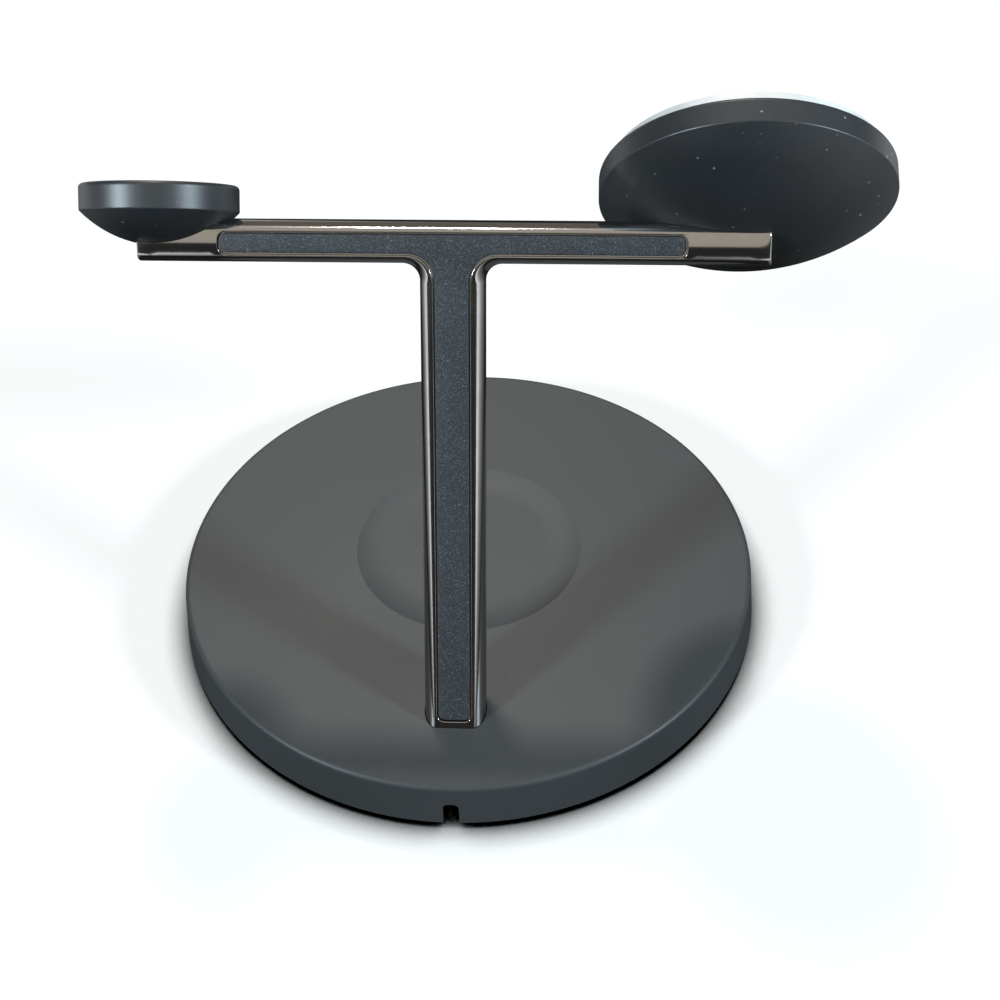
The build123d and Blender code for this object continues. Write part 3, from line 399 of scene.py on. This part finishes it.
finishes = {
    "base_top_housing": softTouchBase, "base_bottom_cover": mouldedBlack, "base_foot": footRubber,
    "base_weight": platedSteel, "base_circuit_board": boardGreen, "power_inlet": inletSteel,
    "stand_connector": mouldedBlack, "earbud_coil": windingCopper, "earbud_shield": ferriteGrey,
    "coil_tray": mouldedBlack, "base_cover_screws": screwSteel, "indicator_lens": lensClear,
    "stand_frame": darkChrome, "stand_inlay": slateInlay, "stand_foot_screws": screwSteel,
    "phone_lead": leadSheath, "watch_lead": leadSheath,
    "phone_pad_housing": softTouchPad, "phone_pad_screws": screwSteel, "phone_pad_cup": phoneCupMetal,
    "phone_pad_board": boardGreen, "phone_pad_shield": ferriteGrey, "phone_pad_coil": windingCopper,
    "phone_pad_magnets": magnetNickel, "phone_pad_face": faceWhite,
    "watch_pad_housing": softTouchPad, "watch_pad_screws": screwSteel, "watch_pad_cup": watchCupMetal,
    "watch_pad_shield": ferriteGrey, "watch_pad_coil": windingCopper, "watch_pad_magnet": magnetNickel,
    "watch_pad_face": faceWhite,
}
for name, material in finishes.items():
    nodes[name].data.materials.clear()
    nodes[name].data.materials.append(material)
print("finishes set on", len(finishes), "nodes")


# chrome frame: rings of one T outline, stacked from its front face round to the inlay's pocket;
# the lead channel and the screw holes, which nothing shows, are in the solids alone

teeCuts = {"column": 44, "arm": 34, "end": 14, "top": 90, "foot": 14, "inner": 18, "corner": 8}
tee = {
    "columnWidth": 13.65, "columnRound": 2.9, "barLength": 129.6, "barEndRound": 0.9, "barEndCorner": 0.6,
    "barHeight": 8.65, "barRound": 1.925, "barRise": 103.2, "innerRound": 3.5, "depth": 10.0,
    "turns": 16, "lastTurn": 84.0, "crown": 0.33, "crownRun": 1.5, "lipRound": 0.16, "footCorner": 0.05,
    "faceCuts": 8, "lipCuts": 4, "seatGap": 0.1, "seatTurns": 160, "smooth": 40,
}
strip = {
    "width": 7.2, "height": 4.15, "length": 94.8, "foot": -1.1, "corner": 1.4, "inner": 5.6,
    "gap": 0.20, "play": 0.12, "top": 4.85, "bottom": 3.65, "edge": 0.3, "edgeCuts": 6, "smooth": 50,
}
domes = {
    "phone": {"side": -60.0, "normal": (0, -math.cos(math.radians(27.5)), math.sin(math.radians(27.5))),
              "radius": 30.35, "height": 10.65, "sunk": 0.65},
    "watch": {"side": 60.5, "normal": (0, -math.sin(math.radians(36.8)), math.cos(math.radians(36.8))),
              "radius": 16.25, "height": 6.95, "sunk": 1.35},
}


def teeOutline(halfWidth, halfLength, foot, low, high, inner, corner, footCorner):
    def line(start, end, cuts):
        return [(start[0] + (end[0] - start[0]) * i / cuts, start[1] + (end[1] - start[1]) * i / cuts)
                for i in range(cuts)]

    def arc(centre, radius, start, end, cuts):
        angles = [math.radians(start + (end - start) * i / cuts) for i in range(cuts)]
        return [(centre[0] + radius * math.cos(a), centre[1] + radius * math.sin(a)) for a in angles]

    cuts = teeCuts
    left = arc((footCorner - halfWidth, foot + footCorner), footCorner, 270, 180, cuts["corner"])
    left += line((-halfWidth, foot + footCorner), (-halfWidth, low - inner), cuts["column"])
    left += arc((-halfWidth - inner, low - inner), inner, 0, 90, cuts["inner"])
    left += line((-halfWidth - inner, low), (corner - halfLength, low), cuts["arm"])
    left += arc((corner - halfLength, low + corner), corner, 270, 180, cuts["corner"])
    left += line((-halfLength, low + corner), (-halfLength, high - corner), cuts["end"])
    left += arc((corner - halfLength, high - corner), corner, 180, 90, cuts["corner"])
    left += line((corner - halfLength, high), (0, high), cuts["top"] // 2)
    right = [(-x, y) for x, y in reversed(left)]
    base = line((halfWidth - footCorner, foot), (footCorner - halfWidth, foot), cuts["foot"])
    return left + [(0, high)] + right + base[1:]


def footLevel(depth):
    return (stand["foot"] - stand["top"] - leanSin * depth) / leanCos


def frameRing(turn):
    share = 1 - math.cos(turn)
    depth = tee["depth"] / 2 * math.sin(turn)
    inset = tee["barHeight"] / 2 - tee["barRound"] * share
    ring = teeOutline(
        tee["columnWidth"] / 2 - tee["columnRound"] * share, tee["barLength"] / 2 - tee["barEndRound"] * share,
        footLevel(depth), tee["barRise"] - inset, tee["barRise"] + inset,
        tee["innerRound"] + (strip["inner"] - tee["innerRound"]) * share, tee["barEndCorner"], tee["footCorner"])
    return [(x, y, depth) for x, y in ring]


def stripRing(grow, depth):
    inset = strip["height"] / 2 + grow
    ring = teeOutline(
        strip["width"] / 2 + grow, strip["length"] / 2 + grow, strip["foot"] - grow, tee["barRise"] - inset,
        tee["barRise"] + inset, strip["inner"] - grow, strip["corner"] + grow, strip["corner"] + grow)
    return [(x, y, depth) for x, y in ring]


def crownRing(face, lip, share):
    # the bare ends of the bar swell a little between the rounded edges
    half = tee["barHeight"] / 2 - tee["barRound"] * (1 - math.cos(math.radians(tee["lastTurn"])))
    ring = []
    for (x, y, z), (u, v, w) in zip(face, lip):
        across, up = x + (u - x) * share, y + (v - y) * share
        lift = max(0.0, 1 - ((up - tee["barRise"]) / half) ** 2)
        beyond = abs(across) - strip["length"] / 2 + tee["crownRun"]
        along = min(1.0, max(0.0, beyond / tee["crownRun"]))
        ring.append((across, up, z + (w - z) * share + tee["crown"] * lift * along))
    return ring


def newItem(name, data):
    item = bpy.data.objects.new(name, data)
    bpy.context.scene.collection.objects.link(item)
    return item


def closedItem(name, work):
    bmesh.ops.recalc_face_normals(work, faces=work.faces)
    mesh = bpy.data.meshes.new(name)
    work.to_mesh(mesh)
    work.free()
    return newItem(name, mesh)


def loftRings(name, rings):
    points = [standMatrix @ Vector(p) * mm for ring in rings for p in ring]
    count = len(rings[0])
    faces = [(k * count + i, k * count + (i + 1) % count, (k + 1) * count + (i + 1) % count, (k + 1) * count + i)
             for k in range(len(rings) - 1) for i in range(count)]
    faces += [tuple(range(count)), tuple(range((len(rings) - 1) * count, len(rings) * count))]
    mesh = bpy.data.meshes.new(name)
    mesh.from_pydata(points, [], faces)
    work = bmesh.new()
    work.from_mesh(mesh)
    bmesh.ops.recalc_face_normals(work, faces=work.faces)
    work.to_mesh(mesh)
    work.free()
    return newItem(name, mesh)


def applied(item):
    mesh = bpy.data.meshes.new_from_object(item.evaluated_get(bpy.context.evaluated_depsgraph_get()))
    item.modifiers.clear()
    item.data = mesh
    return item


def combine(item, operation, tool):
    step = item.modifiers.new(operation, "BOOLEAN")
    step.operation, step.solver, step.object = operation, "EXACT", tool
    applied(item)
    bpy.data.objects.remove(tool)


def smooth(item, angle):
    item.data.shade_smooth()
    item.data.set_sharp_from_angle(angle=math.radians(angle))


def dress(item, node, material):
    item.data.materials.clear()
    item.data.materials.append(material)
    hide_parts(node)
    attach(item, "root")


lastTurn = math.radians(tee["lastTurn"])
turns = [-math.pi / 2 + (lastTurn + math.pi / 2) * i / (2 * tee["turns"]) for i in range(2 * tee["turns"] + 1)]
rings = [frameRing(turn) for turn in turns]
faceRing = rings[-1]
lipEdge = strip["gap"] + tee["lipRound"]
lipRing = stripRing(lipEdge, faceRing[0][2])
rings += [crownRing(faceRing, lipRing, i / tee["faceCuts"]) for i in range(1, tee["faceCuts"] + 1)]
lipTop = rings[-1]
for i in range(1, tee["lipCuts"] + 1):  # rounded lip into the pocket
    turn = math.pi / 2 * i / tee["lipCuts"]
    ring = stripRing(lipEdge - tee["lipRound"] * math.sin(turn), 0)
    rings.append([(x, y, top[2] - tee["lipRound"] * (1 - math.cos(turn)))
                  for (x, y, _), top in zip(ring, lipTop)])
rings.append(stripRing(strip["gap"], strip["bottom"]))
chromeFrame = loftRings("chromeFrame", rings)

seat = standMatrix @ Vector((0, tee["barRise"], 0))
for name, dome in domes.items():
    reach = (dome["radius"] ** 2 + dome["height"] ** 2) / (2 * dome["height"])
    centre = Vector((dome["side"], seat.y, seat.z)) + Vector(dome["normal"]) * (reach - dome["sunk"])
    work = bmesh.new()
    bmesh.ops.create_uvsphere(
        work, u_segments=tee["seatTurns"], v_segments=tee["seatTurns"] // 2,
        radius=(reach + tee["seatGap"]) * mm, matrix=Matrix.Translation(centre * mm))
    combine(chromeFrame, "DIFFERENCE", closedItem(name + "Cutter", work))
smooth(chromeFrame, tee["smooth"])
dress(chromeFrame, "stand_frame", darkChrome)
print("chrome frame:", len(chromeFrame.data.polygons), "faces")

edge = strip["edge"]
rings = [stripRing(-strip["play"], strip["bottom"])]
for i in range(strip["edgeCuts"] + 1):
    turn = math.pi / 2 * i / strip["edgeCuts"]
    rings.append(stripRing(
        -strip["play"] - edge * (1 - math.cos(turn)), strip["top"] - edge * (1 - math.sin(turn))))
grainedStrip = loftRings("grainedStrip", rings)
smooth(grainedStrip, strip["smooth"])
dress(grainedStrip, "stand_inlay", slateInlay)
print("inlay strip:", len(grainedStrip.data.polygons), "faces")


# base cap: a turned shell with screw bosses, cut for the dish, the column, the cable and the lamp

cap = {
    "radius": 69.4, "bottom": 2.0, "top": 13.0, "taper": 5.7, "edge": 1.2, "wall": 2.0, "roof": 2.2,
    "turns": 240, "edgeCuts": 16, "rim": 0.3, "smooth": 8,
}
dish = {"radius": 27.4, "depth": 0.9, "edge": 9.0, "centre": (0.0, -3.7), "cuts": 18, "over": 1.06}
opening = {"flat": 3.925, "side": 3.05, "depth": 5.15, "reach": 12.0, "cuts": 48}
cableSlot = {"half": 1.8, "height": 5.8, "round": 1.4, "from": 65.4, "to": 73.4, "below": 1.0, "cuts": 12}
lampHole = {"radius": 1.25, "half": 2.6, "cuts": 48}
bosses = {
    "ring": 58.0, "count": 4, "start": 25.0, "radius": 3.25, "hole": 1.35, "low": 4.0, "deep": 4.5,
    "rootShare": 3, "turns": 64,
}


def turnedFaces(work, profile, centre, cuts):
    rows = []
    for reach, height in profile:
        angles = [2 * math.pi * (i + 0.5) / cuts for i in range(cuts if reach else 1)]
        rows.append([work.verts.new(Vector((
            centre[0] + reach * math.cos(a), centre[1] + reach * math.sin(a), height)) * mm) for a in angles])
    for low, high in zip(rows, rows[1:]):
        for i in range(cuts):
            corners = [low[i % len(low)], low[(i + 1) % cuts % len(low)],
                       high[(i + 1) % cuts % len(high)], high[i % len(high)]]
            work.faces.new(list(dict.fromkeys(corners)))


def prismFaces(work, first, last):
    rows = [[work.verts.new(Vector(p) * mm) for p in ring] for ring in (first, last)]
    count = len(first)
    for i in range(count):
        work.faces.new((rows[0][i], rows[0][(i + 1) % count], rows[1][(i + 1) % count], rows[1][i]))
    for row in rows:
        work.faces.new(row)


taper = math.radians(cap["taper"])
underside, roundLevel = cap["top"] - cap["roof"], cap["top"] - cap["edge"]
innerRadius = cap["radius"] - cap["wall"]
roundReach = (cap["radius"] - (cap["top"] - cap["bottom"]) * math.tan(taper)
              - cap["edge"] * math.tan((math.pi / 2 - taper) / 2))
sideRim = roundLevel - cap["rim"]
profile = [
    (0, underside), (innerRadius - (underside - cap["bottom"]) * math.tan(taper), underside),
    (innerRadius, cap["bottom"]), (cap["radius"], cap["bottom"]),
    (cap["radius"] - (sideRim - cap["bottom"]) * math.tan(taper), sideRim),
]
for i in range(cap["edgeCuts"] + 1):
    turn = taper + (math.pi / 2 - taper) * i / cap["edgeCuts"]
    profile.append((roundReach + cap["edge"] * math.cos(turn), roundLevel + cap["edge"] * math.sin(turn)))
profile += [(roundReach - cap["rim"], cap["top"]), (0, cap["top"])]
work = bmesh.new()
turnedFaces(work, profile, (0, 0), cap["turns"])
baseCap = closedItem("baseCap", work)

work = bmesh.new()
bossRoot = underside + cap["roof"] / bosses["rootShare"]  # sunk into the roof, to join it
bossProfile = [
    (0, bosses["low"] + bosses["deep"]), (bosses["hole"], bosses["low"] + bosses["deep"]),
    (bosses["hole"], bosses["low"]), (bosses["radius"], bosses["low"]),
    (bosses["radius"], bossRoot), (0, bossRoot),
]
for i in range(bosses["count"]):
    turn = math.radians(bosses["start"] + 360 * i / bosses["count"])
    bossCentre = (bosses["ring"] * math.cos(turn), bosses["ring"] * math.sin(turn))
    turnedFaces(work, bossProfile, bossCentre, bosses["turns"])
capBosses = closedItem("capBosses", work)

work = bmesh.new()
bend = (dish["edge"] ** 2 + dish["depth"] ** 2) / (2 * dish["depth"])
floorLevel = cap["top"] - dish["depth"]
profile = [(0, floorLevel)]
for i in range(dish["cuts"] + 1):
    turn = math.asin(dish["edge"] / bend) * dish["over"] * i / dish["cuts"]
    profile.append((dish["radius"] - dish["edge"] + bend * math.sin(turn),
                    floorLevel + bend * (1 - math.cos(turn))))
profile += [(profile[-1][0], cap["top"] + dish["depth"]), (0, cap["top"] + dish["depth"])]
turnedFaces(work, profile, dish["centre"], cap["turns"])
section = []
for side in (1, -1):
    for i in range(opening["cuts"] + 1):
        turn = math.pi * (i / opening["cuts"] - 0.5)
        section.append((side * (opening["flat"] + opening["side"] * math.cos(turn)),
                        side * opening["depth"] * math.sin(turn)))
prismFaces(work, *[[standMatrix @ Vector((x, level, z)) for x, z in section]
                   for level in (-opening["reach"], opening["reach"])])
section = [(-cableSlot["half"], -cableSlot["below"]), (cableSlot["half"], -cableSlot["below"])]
for side, start in ((1, 0), (-1, 90)):
    for i in range(cableSlot["cuts"] + 1):
        turn = math.radians(start + 90 * i / cableSlot["cuts"])
        section.append((side * (cableSlot["half"] - cableSlot["round"]) + cableSlot["round"] * math.cos(turn),
                        cableSlot["height"] - cableSlot["round"] + cableSlot["round"] * math.sin(turn)))
prismFaces(work, *[[(x, depth, cap["bottom"] + z) for x, z in section]
                   for depth in (cableSlot["from"], cableSlot["to"])])
middle = (cap["top"] + cap["bottom"]) / 2
lampPlace = Vector((0, (middle - cap["bottom"]) * math.tan(taper) - cap["radius"], middle))
lampAxis = Vector((0, -math.cos(taper), math.sin(taper)))
section = [(lampHole["radius"] * math.cos(2 * math.pi * i / lampHole["cuts"]),
            lampHole["radius"] * math.sin(2 * math.pi * i / lampHole["cuts"])) for i in range(lampHole["cuts"])]
lampUp = Vector((0, math.sin(taper), math.cos(taper)))
prismFaces(work, *[[lampPlace + Vector((x, 0, 0)) + lampUp * z + lampAxis * depth for x, z in section]
                   for depth in (-lampHole["half"], lampHole["half"])])
capCuts = closedItem("capCuts", work)
for operation, tool in (("UNION", capBosses), ("DIFFERENCE", capCuts)):
    combine(baseCap, operation, tool)
smooth(baseCap, cap["smooth"])
dress(baseCap, "base_top_housing", softTouchBase)
print("base cap:", len(baseCap.data.polygons), "faces")


# coils: flat spirals of wire

windings = {
    "earbudWinding": {"node": "earbud_coil", "across": 42.0, "bore": 18.0, "wire": 1.2, "tilt": 0.0},
    "phoneWinding": {"node": "phone_pad_coil", "across": 42.0, "bore": 20.0, "wire": 1.6, "tilt": 62.5},
    "watchWinding": {"node": "watch_pad_coil", "across": 23.0, "bore": 10.0, "wire": 1.2, "tilt": 36.8},
}
woundWire = {"turnCuts": 72, "wireCuts": 10, "pitch": 2.1, "thick": 0.48, "smooth": 60}
windingTree = bpy.data.node_groups.new("flatWinding", "GeometryNodeTree")
for label, kind in (("Inner", "Float"), ("Outer", "Float"), ("Turns", "Float"), ("Wire", "Float"),
                    ("Place", "Vector"), ("Tilt", "Vector"), ("Paint", "Material")):
    windingTree.interface.new_socket(label, in_out="INPUT", socket_type="NodeSocket" + kind)
windingTree.interface.new_socket("Mesh", in_out="OUTPUT", socket_type="NodeSocketGeometry")
given = windingTree.nodes.new("NodeGroupInput").outputs


def windingNode(kind, links, **settings):
    node = windingTree.nodes.new("GeometryNode" + kind)
    for key, value in settings.items():
        node.inputs[key].default_value = value
    for key, socket in links.items():
        windingTree.links.new(socket, node.inputs[key])
    return node.outputs[0]


path = windingNode(
    "CurveSpiral", {"Start Radius": given["Inner"], "End Radius": given["Outer"], "Rotations": given["Turns"]},
    Resolution=woundWire["turnCuts"], Height=0.0)
section = windingNode("CurvePrimitiveCircle", {"Radius": given["Wire"]}, Resolution=woundWire["wireCuts"])
wire = windingNode("CurveToMesh", {"Curve": path, "Profile Curve": section}, **{"Fill Caps": True})
placed = windingNode("Transform", {"Geometry": wire, "Translation": given["Place"], "Rotation": given["Tilt"]})
plain = windingNode("RealizeInstances", {"Geometry": placed})
painted = windingNode("SetMaterial", {"Geometry": plain, "Material": given["Paint"]})
windingTree.links.new(painted, windingTree.nodes.new("NodeGroupOutput").inputs["Mesh"])
for name, coil in windings.items():
    low, high = (Vector(c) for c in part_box(coil["node"]))
    values = {
        "Inner": (coil["bore"] + coil["wire"]) / 2 * mm, "Outer": (coil["across"] - coil["wire"]) / 2 * mm,
        "Turns": (coil["across"] - coil["bore"] - 2 * coil["wire"]) / woundWire["pitch"] / coil["wire"],
        "Wire": coil["wire"] * woundWire["thick"] * mm, "Place": (low + high) / 2,
        "Tilt": (math.radians(coil["tilt"]), 0, 0), "Paint": windingCopper,
    }
    winding = newItem(name, bpy.data.meshes.new(name))
    wound = winding.modifiers.new("winding", "NODES")
    wound.node_group = windingTree
    for item in windingTree.interface.items_tree:
        if item.in_out == "INPUT":
            wound[item.identifier] = values[item.name]
    applied(winding)
    smooth(winding, woundWire["smooth"])
    dress(winding, coil["node"], windingCopper)
print("coils wound:", len(windings))


# floor, cards and lamps

studio = {
    "floor": 14.0, "glow": 0.64, "pale": 0.36, "bounce": 0.05, "sky": 0.05, "aim": (0, 0, 0.06),
    "contact": 0.009, "contactSamples": 16, "contactSpan": (0.5, 0.93),
    "matCentre": (0.015, 0.02), "matReach": 0.04, "matNear": 0.10, "matFar": 0.50, "matShade": 0.02,
    "lamps": {
        "frontLamp": {"at": (0.29, -1.75, 2.60), "power": 27.0, "size": 0.30, "colour": (1.0, 0.945, 0.89)},
        "rightLamp": {"at": (-2.92, 1.10, 1.78), "power": 108.0, "size": 0.50, "colour": (0.74, 0.90, 1.0)},
        "leftLamp": {"at": (2.50, 1.91, 1.78), "power": 104.0, "size": 0.50, "colour": (0.74, 0.90, 1.0)},
    },
    "cards": {
        "backLow": {"at": (0, 3.0, 0.63), "size": (8.0, 1.26), "turn": (90, 0, 0), "shade": (0.03, 0.03, 0.03)},
        "backHigh": {"at": (0, 3.0, 3.63), "size": (8.0, 4.74), "turn": (90, 0, 0), "shade": (0.54, 0.51, 0.44)},
        "frontLow": {"at": (0, -3.5, 1.7), "size": (8.0, 3.4), "turn": (90, 0, 0), "shade": (0.17, 0.15, 0.13)},
        "frontHigh": {"at": (0, -3.5, 4.7), "size": (8.0, 2.6), "turn": (90, 0, 0), "shade": (0.40, 0.36, 0.33)},
        "rightWall": {"at": (-4.0, 0, 3.0), "size": (6.0, 7.0), "turn": (0, 90, 0), "shade": (0.06, 0.06, 0.06)},
        "leftWall": {"at": (4.0, 0, 3.0), "size": (6.0, 7.0), "turn": (0, 90, 0), "shade": (0.06, 0.06, 0.06)},
        "ceiling": {"at": (0, 0, 6.0), "size": (8.2, 7.2), "turn": (180, 0, 0), "shade": (0.56, 0.53, 0.48),
                    "lights": True},
    },
}


def seenPart(tree):
    path = addNode(tree, "LightPath")
    both = mathNode(tree, "ADD", path.outputs["Is Camera Ray"], path.outputs["Is Glossy Ray"])
    return mathNode(tree, "ADD", both, path.outputs["Is Transmission Ray"], True)


def panel(name, width, depth, matrix):
    mesh = bpy.data.meshes.new(name)
    corners = [(-width / 2, -depth / 2, 0), (width / 2, -depth / 2, 0),
               (width / 2, depth / 2, 0), (-width / 2, depth / 2, 0)]
    mesh.from_pydata([matrix @ Vector(c) for c in corners], [], [(0, 1, 2, 3)])
    item = newItem(name, mesh)
    return item


floor = panel("floor", studio["floor"], studio["floor"], Matrix.Identity(4))
floorPaint = bpy.data.materials.new("floorPaint")
floorPaint.use_nodes = True
tree = floorPaint.node_tree
tree.nodes.clear()
shown = addNode(tree, "BsdfDiffuse")
glow = addNode(tree, "Emission")
glow.inputs["Strength"].default_value = studio["glow"]
contact = addNode(tree, "AmbientOcclusion", samples=studio["contactSamples"])
contact.inputs["Distance"].default_value = studio["contact"]
paintedContactShade = spreadNode(tree, contact.outputs["AO"], *studio["contactSpan"])  # painted contact shadow: the floor's colour darkens where the base meets the floor
place = addNode(tree, "TexCoord").outputs["Object"]
spot = addNode(tree, "Mapping", vector_type="TEXTURE")
spot.inputs["Location"].default_value = (*studio["matCentre"], 0)
spot.inputs["Scale"].default_value = (1, 1 / studio["matReach"], 1)
tree.links.new(place, spot.inputs["Vector"])
away = addNode(tree, "VectorMath", operation="LENGTH")
tree.links.new(spot.outputs["Vector"], away.inputs[0])
mat = spreadNode(tree, away.outputs["Value"], studio["matNear"], studio["matFar"])
mat.node.inputs["To Min"].default_value = studio["matShade"]
mirrored = addNode(tree, "LightPath").outputs["Is Glossy Ray"]
shade = mixColour(tree, mirrored, (1, 1, 1), mat)  # a long dark mat, seen only in reflections
# painted contact shadow, mixed into the floor's glow and its diffuse colour alike
painted = mixColour(tree, paintedContactShade, (0, 0, 0), shade)
tree.links.new(painted, glow.inputs["Color"])
paler = addNode(tree, "Mix", data_type="RGBA", blend_type="MULTIPLY")
paler.inputs["Factor"].default_value = 1.0
paler.inputs[6].default_value = (studio["pale"],) * 3 + (1,)
tree.links.new(painted, paler.inputs[7])
tree.links.new(paler.outputs[2], shown.inputs["Color"])
both = addNode(tree, "AddShader")
tree.links.new(shown.outputs[0], both.inputs[0])
tree.links.new(glow.outputs[0], both.inputs[1])
hidden = addNode(tree, "BsdfDiffuse")
hidden.inputs["Color"].default_value = (studio["bounce"],) * 3 + (1,)
choice = addNode(tree, "MixShader")
tree.links.new(seenPart(tree), choice.inputs[0])
tree.links.new(hidden.outputs[0], choice.inputs[1])
tree.links.new(both.outputs[0], choice.inputs[2])
tree.links.new(choice.outputs[0], addNode(tree, "OutputMaterial").inputs["Surface"])
floor.data.materials.append(floorPaint)

for name, card in studio["cards"].items():
    turn = Euler([math.radians(a) for a in card["turn"]])
    matrix = Matrix.Translation(card["at"]) @ turn.to_matrix().to_4x4()
    item = panel(name, *card["size"], matrix)
    item.visible_camera = item.visible_shadow = False
    item.visible_diffuse = card.get("lights", False)
    paint = bpy.data.materials.new(name + "Paint")
    paint.use_nodes = True
    paint.node_tree.nodes.clear()
    light = addNode(paint.node_tree, "Emission")
    light.inputs["Color"].default_value = (*card["shade"], 1)
    paint.node_tree.links.new(light.outputs[0], addNode(paint.node_tree, "OutputMaterial").inputs["Surface"])
    item.data.materials.append(paint)

for name, lamp in studio["lamps"].items():
    data = bpy.data.lights.new(name, "AREA")
    data.shape, data.size, data.energy, data.color = "DISK", lamp["size"], lamp["power"], lamp["colour"]
    item = newItem(name, data)
    item.location = lamp["at"]
    item.rotation_euler = (Vector(studio["aim"]) - Vector(lamp["at"])).to_track_quat("-Z", "Y").to_euler()

world = bpy.data.worlds.new("studioWorld")
bpy.context.scene.world = world
world.use_nodes = True
tree = world.node_tree
strength = addNode(tree, "MapRange")
strength.inputs["To Min"].default_value = studio["sky"]
strength.inputs["To Max"].default_value = 1.0
tree.links.new(seenPart(tree), strength.inputs["Value"])
backdrop = tree.nodes["Background"]
backdrop.inputs["Color"].default_value = (1, 1, 1, 1)
tree.links.new(strength.outputs["Result"], backdrop.inputs["Strength"])
print("studio lit")

photoView = {
    "at": (-0.0257, 0.26779, 0.295), "heading": 183.74, "tilt": 45.62, "roll": -1.73, "lens": 57.6,
    "sensor": 36.0, "near": 0.01,
}
camera = bpy.data.cameras.new("photoCamera")
camera.lens, camera.sensor_width, camera.clip_start = photoView["lens"], photoView["sensor"], photoView["near"]
photoCamera = newItem("photoCamera", camera)
photoCamera.matrix_world = (
    Matrix.Translation(photoView["at"])
    @ Matrix.Rotation(math.radians(photoView["heading"]), 4, "Z")
    @ Matrix.Rotation(math.radians(photoView["tilt"]), 4, "X")
    @ Matrix.Rotation(math.radians(photoView["roll"]), 4, "Z")
)
bpy.context.scene.camera = photoCamera
bpy.context.scene.view_settings.view_transform = "Standard"
print("camera set")
